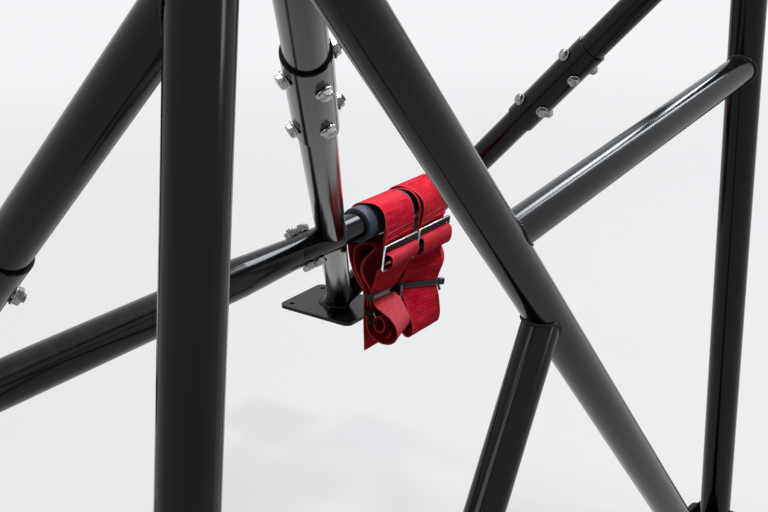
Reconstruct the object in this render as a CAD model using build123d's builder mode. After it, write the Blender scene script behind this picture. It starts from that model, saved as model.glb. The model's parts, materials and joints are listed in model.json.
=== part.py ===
"""Bolt-in rear roll cage with a harness bar and a stowed pair of shoulder belts.

Millimetres. X runs across the car to its left, Y to the rear, Z up. The origin lies on the
floor, midway between the two hoop feet. Every tube runs between two named points, and each
tube that ends on another one is trimmed to it with a small weld gap.
"""
from build123d import *
from math import cos, radians, sin, tan
import os

# Main hoop
HOOP_HEIGHT = 1150.0
HOOP_HALF_WIDTH = 600.0
LEG_LEAN = 6.6
HOOP_BEND = 140.0
HOOP_OD = 45.0
BRACE_OD = 40.0
CROSS_OD = 38.0
WALL = 2.5
WELD_GAP = 0.2

# Braces in the plane of the hoop
JUNCTION_X = -20.0
JUNCTION_Z = 593.0
DIAGONAL_TOP_DROP = 70.0
STRUT_FOOT_X = -387.0
CROSS_BAR_LOW_Z = 695.0
CROSS_BAR_HIGH_Z = 751.0

# Rear stays and the rear diagonal
STAY_TOP_DROP = 174.0
STAY_FOOT_X = 507.0
STAY_FOOT_Y = 658.0
STAY_FOOT_Z = 276.0
STAY_PAD_DROP = 14.0
REAR_START_DROP = 141.0

# Bolted sleeve joints
SLEEVE_OD = 46.0
SLEEVE_FIT = 0.15
STAY_SLEEVE_LENGTH = 158.0
STAY_SLEEVE_AT = 381.0
STAY_BOLT_TURN = 42.0
DIAGONAL_SLEEVE_LENGTH = 190.0
DIAGONAL_SLEEVE_AT = 343.0
DIAGONAL_BOLT_TURN = -34.0
BUTT_GAP = 1.0
SLEEVE_CHAMFER = 1.0
OUTER_BOLT_INSET = 30.0
INNER_BOLT_INSET = 44.5
BOLT_SHANK = 8.0
BOLT_FIT = 0.25
BOLT_HEAD_AF = 13.0
BOLT_HEAD_HEIGHT = 6.0
WASHER_OD = 17.0
WASHER_THICKNESS = 1.6

# Harness bar
BAR_Z = 524.0
BAR_LONG_OD = 50.0
BAR_LONG_END_OD = 42.0
BAR_SHORT_OD = 38.0
BAR_SWAGE = 105.0
BAR_PLUG = 20.0
LAP_BEFORE_CROSSING = 91.0
LAP_LENGTH = 56.0
LAP_GAP = 0.4
LAP_TILT = 37.0
LAP_BOLT_INSETS = (18.0, 40.0)
LAP_BOLT_SHANK = 10.0
LAP_BOLT_AF = 17.0
GRIP_OD = 50.0
GRIP_PAST_CROSSING = 35.0
GRIP_LENGTH = 223.0
GRIP_FIT = 0.1

# Feet
PLATE = 6.0
HOOP_FOOT_OUT = 62.0
HOOP_FOOT_IN = 62.0
HOOP_FOOT_DEPTH = 116.0
FOOT_HOLE_OUT = 40.0
FOOT_HOLE_Y = 40.0
FOOT_HOLE = 11.0
DIAGONAL_FOOT_EXTRA = 50.0
STRUT_FOOT_WIDTH = 130.0
STRUT_FOOT_DEPTH = 92.0
STRUT_HOLE_X = 48.0
STAY_PAD_WIDTH = 118.0
STAY_PAD_DEPTH = 150.0
STAY_HOLE_X = 43.0
STAY_HOLE_Y = 58.0
STAY_HOLE = 9.0
CORNER = 12.0
RIB_HEIGHT = 42.0
RIB_REACH = 28.0
RIB = 5.0

# Shoulder belts
WEBBING_WIDTH = 75.0
WEBBING = 3.0
BELT_PAST_GRIP_END = 33.0
BELT_GAP = 14.0
SOFT_GAP = 0.3
LOOP_DROP = 34.0
ADJUSTER_WIDTH = 88.0
ADJUSTER_HEIGHT = 36.0
ADJUSTER_THICKNESS = 6.0
ADJUSTER_SLOT = 8.0
ADJUSTER_SLOT_CORNER = 2.0
ADJUSTER_EDGE = 1.0
ADJUSTER_DROP = 28.0
ROLL_HEIGHT = 34.0
ROLL_LAP = 6.0
ROLL_BULGE = 11.0
FOLDS_DROP = 64.0
WAIST_BACK = 5.0
WAIST_FRONT = 12.0
TIE_DROPS = (112.0, 130.0)
LOBE_DEPTHS = (60.0, 29.0)
LOBE_DROPS = (178.0, 200.0)
LOBE_CORNERS = (26.0, 12.0)
TAIL_DROPS = (197.0, 200.0)
TAIL_THICKNESS = 5.0
TIE_WIDTH = 6.0
TIE_THICKNESS = 1.6
TIE_HEAD = 10.0
TIE_HEAD_DEPTH = 6.0
HOOK_WIDTH = 9.0
HOOK_HEIGHT = 23.0
HOOK_DEPTH = 15.0
HOOK_CORNER = 3.0
HOOK_DROP = 137.0
HOOK_FORWARD = 7.0


def leg_x(z):
    """Distance of a hoop leg's axis from the middle of the car at height z."""
    return HOOP_HALF_WIDTH - tan(radians(LEG_LEAN)) * z


def between(a, b, share):
    """The point at a share of the way from a to b."""
    return a + (b - a) * share


def along(a, b):
    """A plane at a whose normal points at b, with a level x axis."""
    run = b - a
    level = Vector(run.Y, -run.X, 0) if run.X or run.Y else Vector(1, 0, 0)
    return Plane(origin=a, x_dir=level, z_dir=run)


def rod(a, b, diameter, spare=0.0):
    """A round bar from a to b, used to trim other tubes, with spare length at both ends."""
    step = (b - a).normalized() * spare
    start = a - step
    return Solid.make_cylinder(diameter / 2, (b - a).length + 2 * spare, along(start, b))


def ring_section(diameter, wall=WALL):
    """The section of a tube, drawn into the sketch that is open."""
    Circle(diameter / 2)
    Circle(diameter / 2 - wall, mode=Mode.SUBTRACT)


def save(piece, name):
    """Label a finished piece and write it as the node of that name."""
    piece.part.label = name
    export_step(piece.part, "parts/" + name + ".step")


os.makedirs("parts", exist_ok=True)

# Named points of the frame, on the tubes' axes
DIAGONAL_TOP_Z = HOOP_HEIGHT - DIAGONAL_TOP_DROP
STAY_TOP_Z = HOOP_HEIGHT - STAY_TOP_DROP
REAR_START_Z = HOOP_HEIGHT - REAR_START_DROP
STAY_PAD_Z = STAY_FOOT_Z - STAY_PAD_DROP
JUNCTION = Vector(JUNCTION_X, 0, JUNCTION_Z)
DIAGONAL_TOP = Vector(-leg_x(DIAGONAL_TOP_Z), 0, DIAGONAL_TOP_Z)
FALL = (DIAGONAL_TOP - JUNCTION) * (1 / (DIAGONAL_TOP_Z - JUNCTION_Z))
DIAGONAL_FOOT = JUNCTION - FALL * JUNCTION_Z
STRUT_FOOT = Vector(STRUT_FOOT_X, 0, 0)
CROSS_LOW = JUNCTION + FALL * (CROSS_BAR_LOW_Z - JUNCTION_Z)
CROSS_HIGH = Vector(leg_x(CROSS_BAR_HIGH_Z), 0, CROSS_BAR_HIGH_Z)
STAY_TOP = Vector(leg_x(STAY_TOP_Z), 0, STAY_TOP_Z)
STAY_FOOT = Vector(STAY_FOOT_X, STAY_FOOT_Y, STAY_FOOT_Z)
REAR_START = JUNCTION + FALL * (REAR_START_Z - JUNCTION_Z)
BAR_END = between(STAY_TOP, STAY_FOOT, (STAY_TOP_Z - BAR_Z) / (STAY_TOP_Z - STAY_FOOT_Z))
BAR_CROSSING = between(REAR_START, STAY_FOOT, (REAR_START_Z - BAR_Z) / (REAR_START_Z - STAY_FOOT_Z))
BAR_Y = (BAR_END.Y + BAR_CROSSING.Y) / 2
BAR_LEFT = Vector(BAR_END.X, BAR_Y, BAR_Z)
BAR_AXIS = Axis((0, BAR_Y, BAR_Z), (1, 0, 0))
LAP_START_X = BAR_CROSSING.X - LAP_BEFORE_CROSSING
GRIP_START_X = BAR_CROSSING.X + GRIP_PAST_CROSSING
BELT_START_X = GRIP_START_X + BELT_PAST_GRIP_END


def mirrored(point):
    """The same point on the other side of the car."""
    return Vector(-point.X, point.Y, point.Z)


# Main hoop: one tube bent twice, standing on the two foot plates
with BuildLine() as hoop_path:
    FilletPolyline(
        (-leg_x(PLATE), 0, PLATE),
        (-leg_x(HOOP_HEIGHT), 0, HOOP_HEIGHT),
        (leg_x(HOOP_HEIGHT), 0, HOOP_HEIGHT),
        (leg_x(PLATE), 0, PLATE),
        radius=HOOP_BEND,
    )

HOOP_START = Vector(-leg_x(PLATE), 0, PLATE)
HOOP_CORNER = Vector(-leg_x(HOOP_HEIGHT), 0, HOOP_HEIGHT)

with BuildPart() as main_hoop:
    with BuildSketch(along(HOOP_START, HOOP_CORNER)):
        ring_section(HOOP_OD)
    sweep(path=hoop_path.line)
save(main_hoop, "main_hoop")

with BuildPart() as hoop_envelope:
    with BuildSketch(along(HOOP_START, HOOP_CORNER)):
        Circle(HOOP_OD / 2 + WELD_GAP)
    sweep(path=hoop_path.line)


def main_solid(piece):
    """The largest solid of a trimmed tube, without the slugs that a cut leaves behind it."""
    return piece.part.solids().sort_by(SortBy.VOLUME)[-1]


# Diagonal of the hoop: from the right upper bend down to the left foot plate
with BuildPart() as hoop_diagonal:
    with BuildSketch(along(DIAGONAL_FOOT, DIAGONAL_TOP)):
        ring_section(HOOP_OD)
    extrude(amount=(DIAGONAL_TOP - DIAGONAL_FOOT).length)
    extrude(hoop_diagonal.faces().sort_by(Axis.Z)[0], amount=HOOP_OD)
    add(hoop_envelope.part, mode=Mode.SUBTRACT)
    split(bisect_by=Plane.XY.offset(PLATE), keep=Keep.TOP)
    add(main_solid(hoop_diagonal), mode=Mode.REPLACE)
save(hoop_diagonal, "hoop_diagonal")

diagonal_rod = rod(DIAGONAL_FOOT, DIAGONAL_TOP, HOOP_OD + 2 * WELD_GAP)

# Strut: from the diagonal down to its own foot plate right of the middle
with BuildPart() as hoop_strut:
    with BuildSketch(along(JUNCTION, STRUT_FOOT)):
        ring_section(BRACE_OD)
    extrude(amount=(STRUT_FOOT - JUNCTION).length + BRACE_OD)
    add(diagonal_rod, mode=Mode.SUBTRACT)
    split(bisect_by=Plane.XY.offset(PLATE), keep=Keep.TOP)
save(hoop_strut, "hoop_strut")

# Cross bar: from the diagonal to the left leg
with BuildPart() as hoop_cross_bar:
    with BuildSketch(along(CROSS_LOW, CROSS_HIGH)):
        ring_section(CROSS_OD)
    extrude(amount=(CROSS_HIGH - CROSS_LOW).length)
    add(diagonal_rod, mode=Mode.SUBTRACT)
    add(hoop_envelope.part, mode=Mode.SUBTRACT)
save(hoop_cross_bar, "hoop_cross_bar")


def sleeve_joint(start, end, at, length, turn):
    """The planes and insets of a bolted sleeve joint whose middle lies at a distance from start.

    Gives the plane at the sleeve's first face, turned about the tube, and the cross bolts as
    (inset, quarter turns).
    """
    run = (end - start).normalized()
    level = along(start + run * (at - length / 2), end)
    angle = radians(turn)
    face = Plane(
        origin=level.origin, x_dir=level.x_dir * cos(angle) + level.y_dir * sin(angle), z_dir=level.z_dir)
    bolts = []
    for inset, turned in ((OUTER_BOLT_INSET, 0), (INNER_BOLT_INSET, 1)):
        bolts.append((inset, turned))
        bolts.append((length - inset, turned))
    return face, bolts


def bolt_plane(face, inset, turned):
    """A plane on the joint's axis whose normal is the bolt's own axis."""
    middle = face.origin + face.z_dir * inset
    normal = face.y_dir if turned else face.x_dir
    return Plane(origin=middle, x_dir=face.z_dir, z_dir=normal)


def bolt_holes(face, bolts):
    """Cut the cross bolts' holes through whatever part is open."""
    for inset, turned in bolts:
        with BuildSketch(bolt_plane(face, inset, turned)) as hole:
            Circle(BOLT_SHANK / 2 + BOLT_FIT)
        extrude(hole.sketch, amount=SLEEVE_OD, both=True, mode=Mode.SUBTRACT)


def hexagon_bolt(seat, grip, shank, across_flats, head, washer, washer_thickness):
    """A bolt with its head and nut seated on washers, grip apart, about the seat's plane."""
    for side in (1, -1):
        with BuildSketch(seat.offset(side * grip / 2)) as disc:
            Circle(washer / 2)
        extrude(disc.sketch, amount=side * washer_thickness)
        with BuildSketch(seat.offset(side * (grip / 2 + washer_thickness))) as hexagon:
            RegularPolygon(across_flats / 2, 6, major_radius=False)
        extrude(hexagon.sketch, amount=side * head)
    with BuildSketch(seat.offset(-grip / 2 - washer_thickness - head)) as pin:
        Circle(shank / 2)
    extrude(pin.sketch, amount=grip + 2 * washer_thickness + head)


def sleeve(face, length, bolts):
    """The joint's sleeve, bored for the tubes and the bolts, with its rims broken."""
    with BuildSketch(face) as outside:
        Circle(SLEEVE_OD / 2)
    extrude(outside.sketch, amount=length)
    chamfer(edges().filter_by(GeomType.CIRCLE), SLEEVE_CHAMFER)
    with BuildSketch(face) as bore:
        Circle(BRACE_OD / 2 + SLEEVE_FIT)
    extrude(bore.sketch, amount=length, mode=Mode.SUBTRACT)
    bolt_holes(face, bolts)


# Rear stays: each a short stub welded to the hoop, a bolted sleeve and the stay itself
BOLT_GRIP = SLEEVE_OD + 2 * BOLT_FIT
for side_name, flip in (("left", False), ("right", True)):
    top = mirrored(STAY_TOP) if flip else STAY_TOP
    foot = mirrored(STAY_FOOT) if flip else STAY_FOOT
    turn = -STAY_BOLT_TURN if flip else STAY_BOLT_TURN
    face, bolts = sleeve_joint(top, foot, STAY_SLEEVE_AT, STAY_SLEEVE_LENGTH, turn)
    run = (foot - top).normalized()

    with BuildPart() as stay_stub:
        with BuildSketch(along(top, foot)):
            ring_section(BRACE_OD)
        extrude(amount=STAY_SLEEVE_AT - BUTT_GAP / 2)
        add(hoop_envelope.part, mode=Mode.SUBTRACT)
        bolt_holes(face, bolts)
    save(stay_stub, "stay_stub_" + side_name)

    with BuildPart() as rear_stay:
        with BuildSketch(along(top + run * (STAY_SLEEVE_AT + BUTT_GAP / 2), foot)):
            ring_section(BRACE_OD)
        extrude(amount=(foot - top).length - STAY_SLEEVE_AT + BRACE_OD)
        split(bisect_by=Plane.XY.offset(STAY_PAD_Z), keep=Keep.TOP)
        bolt_holes(face, bolts)
    save(rear_stay, "rear_stay_" + side_name)

    with BuildPart() as stay_sleeve:
        sleeve(face, STAY_SLEEVE_LENGTH, bolts)
    save(stay_sleeve, "stay_sleeve_" + side_name)

    with BuildPart() as stay_bolts:
        for inset, turned in bolts:
            hexagon_bolt(
                bolt_plane(face, inset, turned),
                BOLT_GRIP, BOLT_SHANK, BOLT_HEAD_AF, BOLT_HEAD_HEIGHT, WASHER_OD, WASHER_THICKNESS,
            )
    save(stay_bolts, "stay_bolts_" + side_name)

stay_rod = rod(STAY_TOP, STAY_FOOT, BRACE_OD + 2 * WELD_GAP, spare=BRACE_OD)
right_stay_rod = rod(mirrored(STAY_TOP), mirrored(STAY_FOOT), BRACE_OD + 2 * WELD_GAP, spare=BRACE_OD)

# Rear diagonal: from the hoop diagonal's upper end down to the left stay's foot
REAR_RUN = (STAY_FOOT - REAR_START).normalized()
rear_face, rear_bolts = sleeve_joint(
    REAR_START, STAY_FOOT, DIAGONAL_SLEEVE_AT, DIAGONAL_SLEEVE_LENGTH, DIAGONAL_BOLT_TURN)
with BuildPart() as rear_diagonal_stub:
    with BuildSketch(along(REAR_START, STAY_FOOT)):
        ring_section(BRACE_OD)
    extrude(amount=DIAGONAL_SLEEVE_AT - BUTT_GAP / 2)
    add(diagonal_rod, mode=Mode.SUBTRACT)
    bolt_holes(rear_face, rear_bolts)
save(rear_diagonal_stub, "rear_diagonal_stub")

with BuildPart() as rear_diagonal:
    with BuildSketch(along(REAR_START + REAR_RUN * (DIAGONAL_SLEEVE_AT + BUTT_GAP / 2), STAY_FOOT)):
        ring_section(BRACE_OD)
    extrude(amount=(STAY_FOOT - REAR_START).length - DIAGONAL_SLEEVE_AT)
    add(stay_rod, mode=Mode.SUBTRACT)
    split(bisect_by=Plane.XY.offset(STAY_PAD_Z), keep=Keep.TOP)
    bolt_holes(rear_face, rear_bolts)
    add(main_solid(rear_diagonal), mode=Mode.REPLACE)
save(rear_diagonal, "rear_diagonal")

with BuildPart() as rear_diagonal_sleeve:
    sleeve(rear_face, DIAGONAL_SLEEVE_LENGTH, rear_bolts)
save(rear_diagonal_sleeve, "rear_diagonal_sleeve")

with BuildPart() as rear_diagonal_bolts:
    for inset, turned in rear_bolts:
        hexagon_bolt(
            bolt_plane(rear_face, inset, turned),
            BOLT_GRIP, BOLT_SHANK, BOLT_HEAD_AF, BOLT_HEAD_HEIGHT, WASHER_OD, WASHER_THICKNESS,
        )
save(rear_diagonal_bolts, "rear_diagonal_bolts")

# Harness bar: a long swaged half and a short half, joined by a bolted half lap
diagonal_tube = rod(REAR_START, STAY_FOOT, BRACE_OD + 2 * WELD_GAP)
BAR_PROFILE = Plane(origin=(0, BAR_Y, BAR_Z), x_dir=(1, 0, 0), z_dir=(0, -1, 0))
LAP_END_X = LAP_START_X + LAP_LENGTH
LAP_RADIUS = BAR_LONG_END_OD / 2
LAP_NORMAL = (0, sin(radians(LAP_TILT)), cos(radians(LAP_TILT)))
LAP_PLANE = Plane(BAR_PROFILE.origin, x_dir=(1, 0, 0), z_dir=LAP_NORMAL)


def lap_block(start_x, end_x, above):
    """The half of the lap on one side of its slanted face, as a cutter."""
    block = Plane(
        origin=LAP_PLANE.origin + Vector(start_x, 0, 0), x_dir=LAP_PLANE.x_dir, z_dir=LAP_PLANE.z_dir)
    side = 1 if above else -1
    with BuildPart(mode=Mode.PRIVATE) as cutter:
        with BuildSketch(block.offset(-side * LAP_GAP / 2)):
            Rectangle(end_x - start_x, BAR_LONG_OD, align=(Align.MIN, Align.CENTER))
        extrude(amount=side * BAR_LONG_OD)
    return cutter.part


def lap_bolt_planes():
    """The planes of the lap's bolts, on the bar's axis."""
    for inset in LAP_BOLT_INSETS:
        middle = LAP_PLANE.origin + Vector(LAP_START_X + inset, 0, 0)
        yield Plane(origin=middle, x_dir=LAP_PLANE.x_dir, z_dir=LAP_PLANE.z_dir)


def lap_holes():
    """Cut the lap's bolt holes through whatever part is open."""
    for seat in lap_bolt_planes():
        with BuildSketch(seat) as hole:
            Circle(LAP_BOLT_SHANK / 2 + BOLT_FIT)
        extrude(hole.sketch, amount=BAR_LONG_OD, both=True, mode=Mode.SUBTRACT)


with BuildPart() as harness_bar_long:
    with BuildSketch(BAR_PROFILE):
        with BuildLine():
            Polyline(
                (-BAR_LEFT.X, BAR_LONG_OD / 2 - WALL),
                (-BAR_LEFT.X, BAR_LONG_OD / 2),
                (LAP_START_X - BAR_SWAGE, BAR_LONG_OD / 2),
                (LAP_START_X, LAP_RADIUS),
                (LAP_END_X, LAP_RADIUS),
                (LAP_END_X, 0),
                (LAP_START_X - BAR_PLUG, 0),
                (LAP_START_X - BAR_PLUG, LAP_RADIUS - WALL),
                (LAP_START_X - BAR_SWAGE, BAR_LONG_OD / 2 - WALL),
                close=True,
            )
        make_face()
    revolve(axis=BAR_AXIS)
    add(lap_block(LAP_START_X, LAP_END_X + LAP_GAP, False), mode=Mode.SUBTRACT)
    add(right_stay_rod, mode=Mode.SUBTRACT)
    add(diagonal_tube, mode=Mode.SUBTRACT)
    lap_holes()
    add(main_solid(harness_bar_long), mode=Mode.REPLACE)
save(harness_bar_long, "harness_bar_long")

with BuildPart() as harness_bar_lug:
    with BuildSketch(Plane.YZ.offset(LAP_START_X + LAP_GAP)):
        with Locations((BAR_Y, BAR_Z)):
            Circle(LAP_RADIUS)
    extrude(amount=BAR_CROSSING.X - LAP_START_X - LAP_GAP)
    add(lap_block(LAP_START_X, LAP_END_X + LAP_GAP, True), mode=Mode.SUBTRACT)
    add(diagonal_tube, mode=Mode.SUBTRACT)
    lap_holes()
    add(main_solid(harness_bar_lug), mode=Mode.REPLACE)
save(harness_bar_lug, "harness_bar_lug")

with BuildPart() as harness_bar_short:
    with BuildSketch(Plane.YZ.offset(BAR_CROSSING.X + LAP_GAP)):
        with Locations((BAR_Y, BAR_Z)):
            ring_section(BAR_SHORT_OD)
    extrude(amount=BAR_LEFT.X - BAR_CROSSING.X - LAP_GAP)
    add(diagonal_tube, mode=Mode.SUBTRACT)
    add(stay_rod, mode=Mode.SUBTRACT)
    add(main_solid(harness_bar_short), mode=Mode.REPLACE)
save(harness_bar_short, "harness_bar_short")

with BuildPart() as lap_bolts:
    for seat in lap_bolt_planes():
        hexagon_bolt(
            seat, BAR_LONG_END_OD + 2 * BOLT_FIT, LAP_BOLT_SHANK, LAP_BOLT_AF,
            BOLT_HEAD_HEIGHT, LAP_BOLT_AF + WASHER_THICKNESS, WASHER_THICKNESS,
        )
save(lap_bolts, "lap_bolts")

# Rubber grip that keeps the belts from sliding along the bar
with BuildPart() as bar_grip:
    with BuildSketch(Plane.YZ.offset(GRIP_START_X)):
        with Locations((BAR_Y, BAR_Z)):
            Circle(GRIP_OD / 2)
            Circle(BAR_SHORT_OD / 2 + GRIP_FIT, mode=Mode.SUBTRACT)
    extrude(amount=GRIP_LENGTH)
    add(stay_rod, mode=Mode.SUBTRACT)
    add(diagonal_tube, mode=Mode.SUBTRACT)
save(bar_grip, "bar_grip")


def foot_plate(plane, x_low, x_high, depth, holes, hole_diameter):
    """A plate with rounded corners, standing on the given plane, drilled at the hole centres."""
    with BuildSketch(plane) as outline:
        with Locations(((x_low + x_high) / 2, 0)):
            RectangleRounded(x_high - x_low, depth, CORNER)
        with Locations(*holes):
            Circle(hole_diameter / 2, mode=Mode.SUBTRACT)
    extrude(outline.sketch, amount=PLATE)


# Hoop feet: drilled plates with two upright ribs against each leg
for side_name, side in (("left", 1), ("right", -1)):
    inner = DIAGONAL_FOOT_EXTRA if side > 0 else 0
    outer_reach = HOOP_HALF_WIDTH + HOOP_FOOT_OUT
    inner_reach = HOOP_HALF_WIDTH - HOOP_FOOT_IN - inner
    edges_x = sorted((side * outer_reach, side * inner_reach))
    hole_xs = [side * (HOOP_HALF_WIDTH + FOOT_HOLE_OUT), side * (HOOP_HALF_WIDTH - FOOT_HOLE_OUT - inner)]
    with BuildPart() as hoop_foot:
        foot_plate(
            Plane.XY, edges_x[0], edges_x[1], HOOP_FOOT_DEPTH,
            [(x, y) for x in hole_xs for y in (-FOOT_HOLE_Y, FOOT_HOLE_Y)], FOOT_HOLE,
        )
        for front in (1, -1):
            with BuildSketch(Plane.YZ.offset(side * leg_x(PLATE) - RIB / 2)):
                with BuildLine():
                    Polyline(
                        (0, PLATE),
                        (front * (HOOP_OD / 2 + RIB_REACH), PLATE),
                        (front * (HOOP_OD / 2 + RIB), PLATE + RIB_HEIGHT),
                        (0, PLATE + RIB_HEIGHT),
                        close=True,
                    )
                make_face()
            extrude(amount=RIB)
        add(hoop_envelope.part, mode=Mode.SUBTRACT)
    save(hoop_foot, "hoop_foot_" + side_name)

# Strut foot
with BuildPart() as strut_foot:
    middle_x = STRUT_FOOT.X + (JUNCTION - STRUT_FOOT).X * PLATE / JUNCTION_Z
    foot_plate(
        Plane.XY, middle_x - STRUT_FOOT_WIDTH / 2, middle_x + STRUT_FOOT_WIDTH / 2, STRUT_FOOT_DEPTH,
        [(middle_x - STRUT_HOLE_X, 0), (middle_x + STRUT_HOLE_X, 0)], STAY_HOLE,
    )
save(strut_foot, "strut_foot")

# Stay feet: level pads at the stays' lower ends
pad_y = STAY_FOOT.Y + (STAY_FOOT - STAY_TOP).Y * (STAY_FOOT_Z - STAY_PAD_Z) / (STAY_TOP_Z - STAY_FOOT_Z)
for side_name, side in (("left", 1), ("right", -1)):
    with BuildPart() as stay_foot:
        middle = side * STAY_FOOT.X
        foot_plate(
            Plane((0, pad_y, STAY_PAD_Z - PLATE)),
            middle - STAY_PAD_WIDTH / 2, middle + STAY_PAD_WIDTH / 2, STAY_PAD_DEPTH,
            [(middle + x, y) for x in (-STAY_HOLE_X, STAY_HOLE_X) for y in (-STAY_HOLE_Y, STAY_HOLE_Y)],
            STAY_HOLE,
        )
    save(stay_foot, "stay_foot_" + side_name)

# Shoulder belts: each a loop over the grip, an adjuster, and the folded rest tied in a bundle
LOOP_INNER = GRIP_OD / 2 + SOFT_GAP
LOOP_OUTER = LOOP_INNER + WEBBING
ADJUSTER_BACK = BAR_Y - LOOP_OUTER - SOFT_GAP
ADJUSTER_FRONT = ADJUSTER_BACK - ADJUSTER_THICKNESS
ADJUSTER_MIDDLE_Z = BAR_Z - ADJUSTER_DROP - ADJUSTER_HEIGHT / 2
ADJUSTER_LOW = ADJUSTER_MIDDLE_Z - ADJUSTER_HEIGHT / 2
FOLDS_TOP = BAR_Z - LOOP_DROP - SOFT_GAP
WAIST_DEPTH = WAIST_BACK + WAIST_FRONT
WAIST_Y = BAR_Y + (WAIST_BACK - WAIST_FRONT) / 2
TIE_GAP = SOFT_GAP + TIE_THICKNESS


def folds_profile(tie_z):
    """The folded strands above the tie, from the loop's legs and the adjuster down to the waist."""
    Polygon(
        (BAR_Y + LOOP_OUTER, FOLDS_TOP),
        (ADJUSTER_BACK + SOFT_GAP, FOLDS_TOP),
        (ADJUSTER_BACK + SOFT_GAP, ADJUSTER_LOW - SOFT_GAP),
        (ADJUSTER_FRONT - SOFT_GAP, ADJUSTER_LOW - SOFT_GAP),
        (BAR_Y - WAIST_FRONT, tie_z + TIE_WIDTH),
        (BAR_Y + WAIST_BACK, tie_z + TIE_WIDTH),
        (BAR_Y + LOOP_OUTER, BAR_Z - FOLDS_DROP),
        align=None,
    )


def roll_profile():
    """The strap that bulges in front of the adjuster and goes down below it."""
    with Locations((ADJUSTER_FRONT - SOFT_GAP, ADJUSTER_LOW + ROLL_HEIGHT / 2 - ROLL_LAP)):
        Ellipse(ROLL_BULGE, ROLL_HEIGHT / 2)


def lobe_profile(tie_z, low_z, depth, corner, tail_z):
    """The folds below the tie, with the strap's tail hanging behind them."""
    with Locations((BAR_Y + WAIST_BACK - depth / 2, (tie_z - TIE_WIDTH + low_z) / 2)):
        RectangleRounded(depth, tie_z - TIE_WIDTH - low_z, corner)
    with Locations((BAR_Y + WAIST_BACK - TAIL_THICKNESS / 2, (tie_z + tail_z) / 2)):
        Rectangle(TAIL_THICKNESS, tie_z - tail_z)


for index, tie_drop in enumerate(TIE_DROPS):
    number = str(index + 1)
    start_x = BELT_START_X + index * (WEBBING_WIDTH + BELT_GAP)
    middle_x = start_x + WEBBING_WIDTH / 2
    tie_z = BAR_Z - tie_drop
    section = Plane.YZ.offset(start_x)

    with BuildPart() as belt_loop:
        with BuildSketch(section):
            with Locations((BAR_Y, BAR_Z)):
                Circle(LOOP_OUTER)
            with Locations((BAR_Y, BAR_Z - LOOP_DROP / 2)):
                Rectangle(2 * LOOP_OUTER, LOOP_DROP)
            with Locations((BAR_Y, BAR_Z)):
                Circle(LOOP_INNER, mode=Mode.SUBTRACT)
            with Locations((BAR_Y, BAR_Z - LOOP_DROP / 2)):
                Rectangle(2 * LOOP_INNER, LOOP_DROP, mode=Mode.SUBTRACT)
        extrude(amount=WEBBING_WIDTH)
    save(belt_loop, "belt_loop_" + number)

    with BuildPart() as belt_adjuster:
        with BuildSketch(Plane.XZ.offset(-ADJUSTER_BACK)):
            with Locations((middle_x, ADJUSTER_MIDDLE_Z)):
                RectangleRounded(ADJUSTER_WIDTH, ADJUSTER_HEIGHT, ADJUSTER_THICKNESS / 2)
                with GridLocations(0, ADJUSTER_HEIGHT / 2 - WEBBING / 2, 1, 2):
                    RectangleRounded(
                        WEBBING_WIDTH + 2 * SOFT_GAP, ADJUSTER_SLOT, ADJUSTER_SLOT_CORNER,
                        mode=Mode.SUBTRACT,
                    )
        extrude(amount=ADJUSTER_THICKNESS)
        fillet(edges().group_by(Axis.Y)[0] + edges().group_by(Axis.Y)[-1], ADJUSTER_EDGE)
    save(belt_adjuster, "belt_adjuster_" + number)

    with BuildPart() as belt_bundle:
        with BuildSketch(section):
            folds_profile(tie_z)
            roll_profile()
            with Locations(((ADJUSTER_BACK + ADJUSTER_FRONT) / 2, ADJUSTER_MIDDLE_Z)):
                Rectangle(
                    ADJUSTER_THICKNESS + 2 * SOFT_GAP, ADJUSTER_HEIGHT + 2 * SOFT_GAP, mode=Mode.SUBTRACT)
            lobe_profile(
                tie_z, BAR_Z - LOBE_DROPS[index], LOBE_DEPTHS[index], LOBE_CORNERS[index],
                BAR_Z - TAIL_DROPS[index],
            )
            with Locations((WAIST_Y, tie_z)):
                Rectangle(WAIST_DEPTH, 2 * TIE_WIDTH)
        extrude(amount=WEBBING_WIDTH)
    save(belt_bundle, "belt_bundle_" + number)

    with BuildPart() as cable_tie:
        with BuildSketch(Plane.XY.offset(tie_z - TIE_WIDTH / 2)):
            with Locations((middle_x, WAIST_Y)):
                Rectangle(WEBBING_WIDTH + 2 * TIE_GAP, WAIST_DEPTH + 2 * TIE_GAP)
                Rectangle(
                    WEBBING_WIDTH + 2 * SOFT_GAP, WAIST_DEPTH + 2 * SOFT_GAP, mode=Mode.SUBTRACT)
        extrude(amount=TIE_WIDTH)
        with BuildSketch(Plane.XY.offset(tie_z - TIE_HEAD / 2)):
            with Locations((start_x + WEBBING_WIDTH + TIE_GAP, BAR_Y - WAIST_FRONT - SOFT_GAP)):
                Rectangle(TIE_HEAD_DEPTH, TIE_HEAD, align=(Align.MIN, Align.MIN))
        extrude(amount=TIE_HEAD)
    save(cable_tie, "cable_tie_" + number)

# Hook at the end of the first belt, held beside its bundle
with BuildPart() as belt_hook:
    with BuildSketch(Plane.YZ.offset(BELT_START_X - SOFT_GAP)):
        with Locations((BAR_Y - HOOK_FORWARD, BAR_Z - HOOK_DROP)):
            RectangleRounded(HOOK_DEPTH, HOOK_HEIGHT, HOOK_CORNER)
    extrude(amount=-HOOK_WIDTH)
save(belt_hook, "belt_hook")
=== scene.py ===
# %% [markdown]
# # A bolt-in roll cage with a stowed pair of shoulder belts
#
# The object is a rear roll cage of black painted steel tube. A harness bar crosses it low down,
# and two red shoulder belts are looped over a rubber grip on that bar, folded up and tied with
# black cable ties. The steel comes from a CAD model and keeps its shape here. This lesson adds
# what a CAD model leaves plain: weld beads, turned bolts, woven webbing and the finish of each
# surface.

# %% Load the CAD model and note its size
import json
import math

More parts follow.
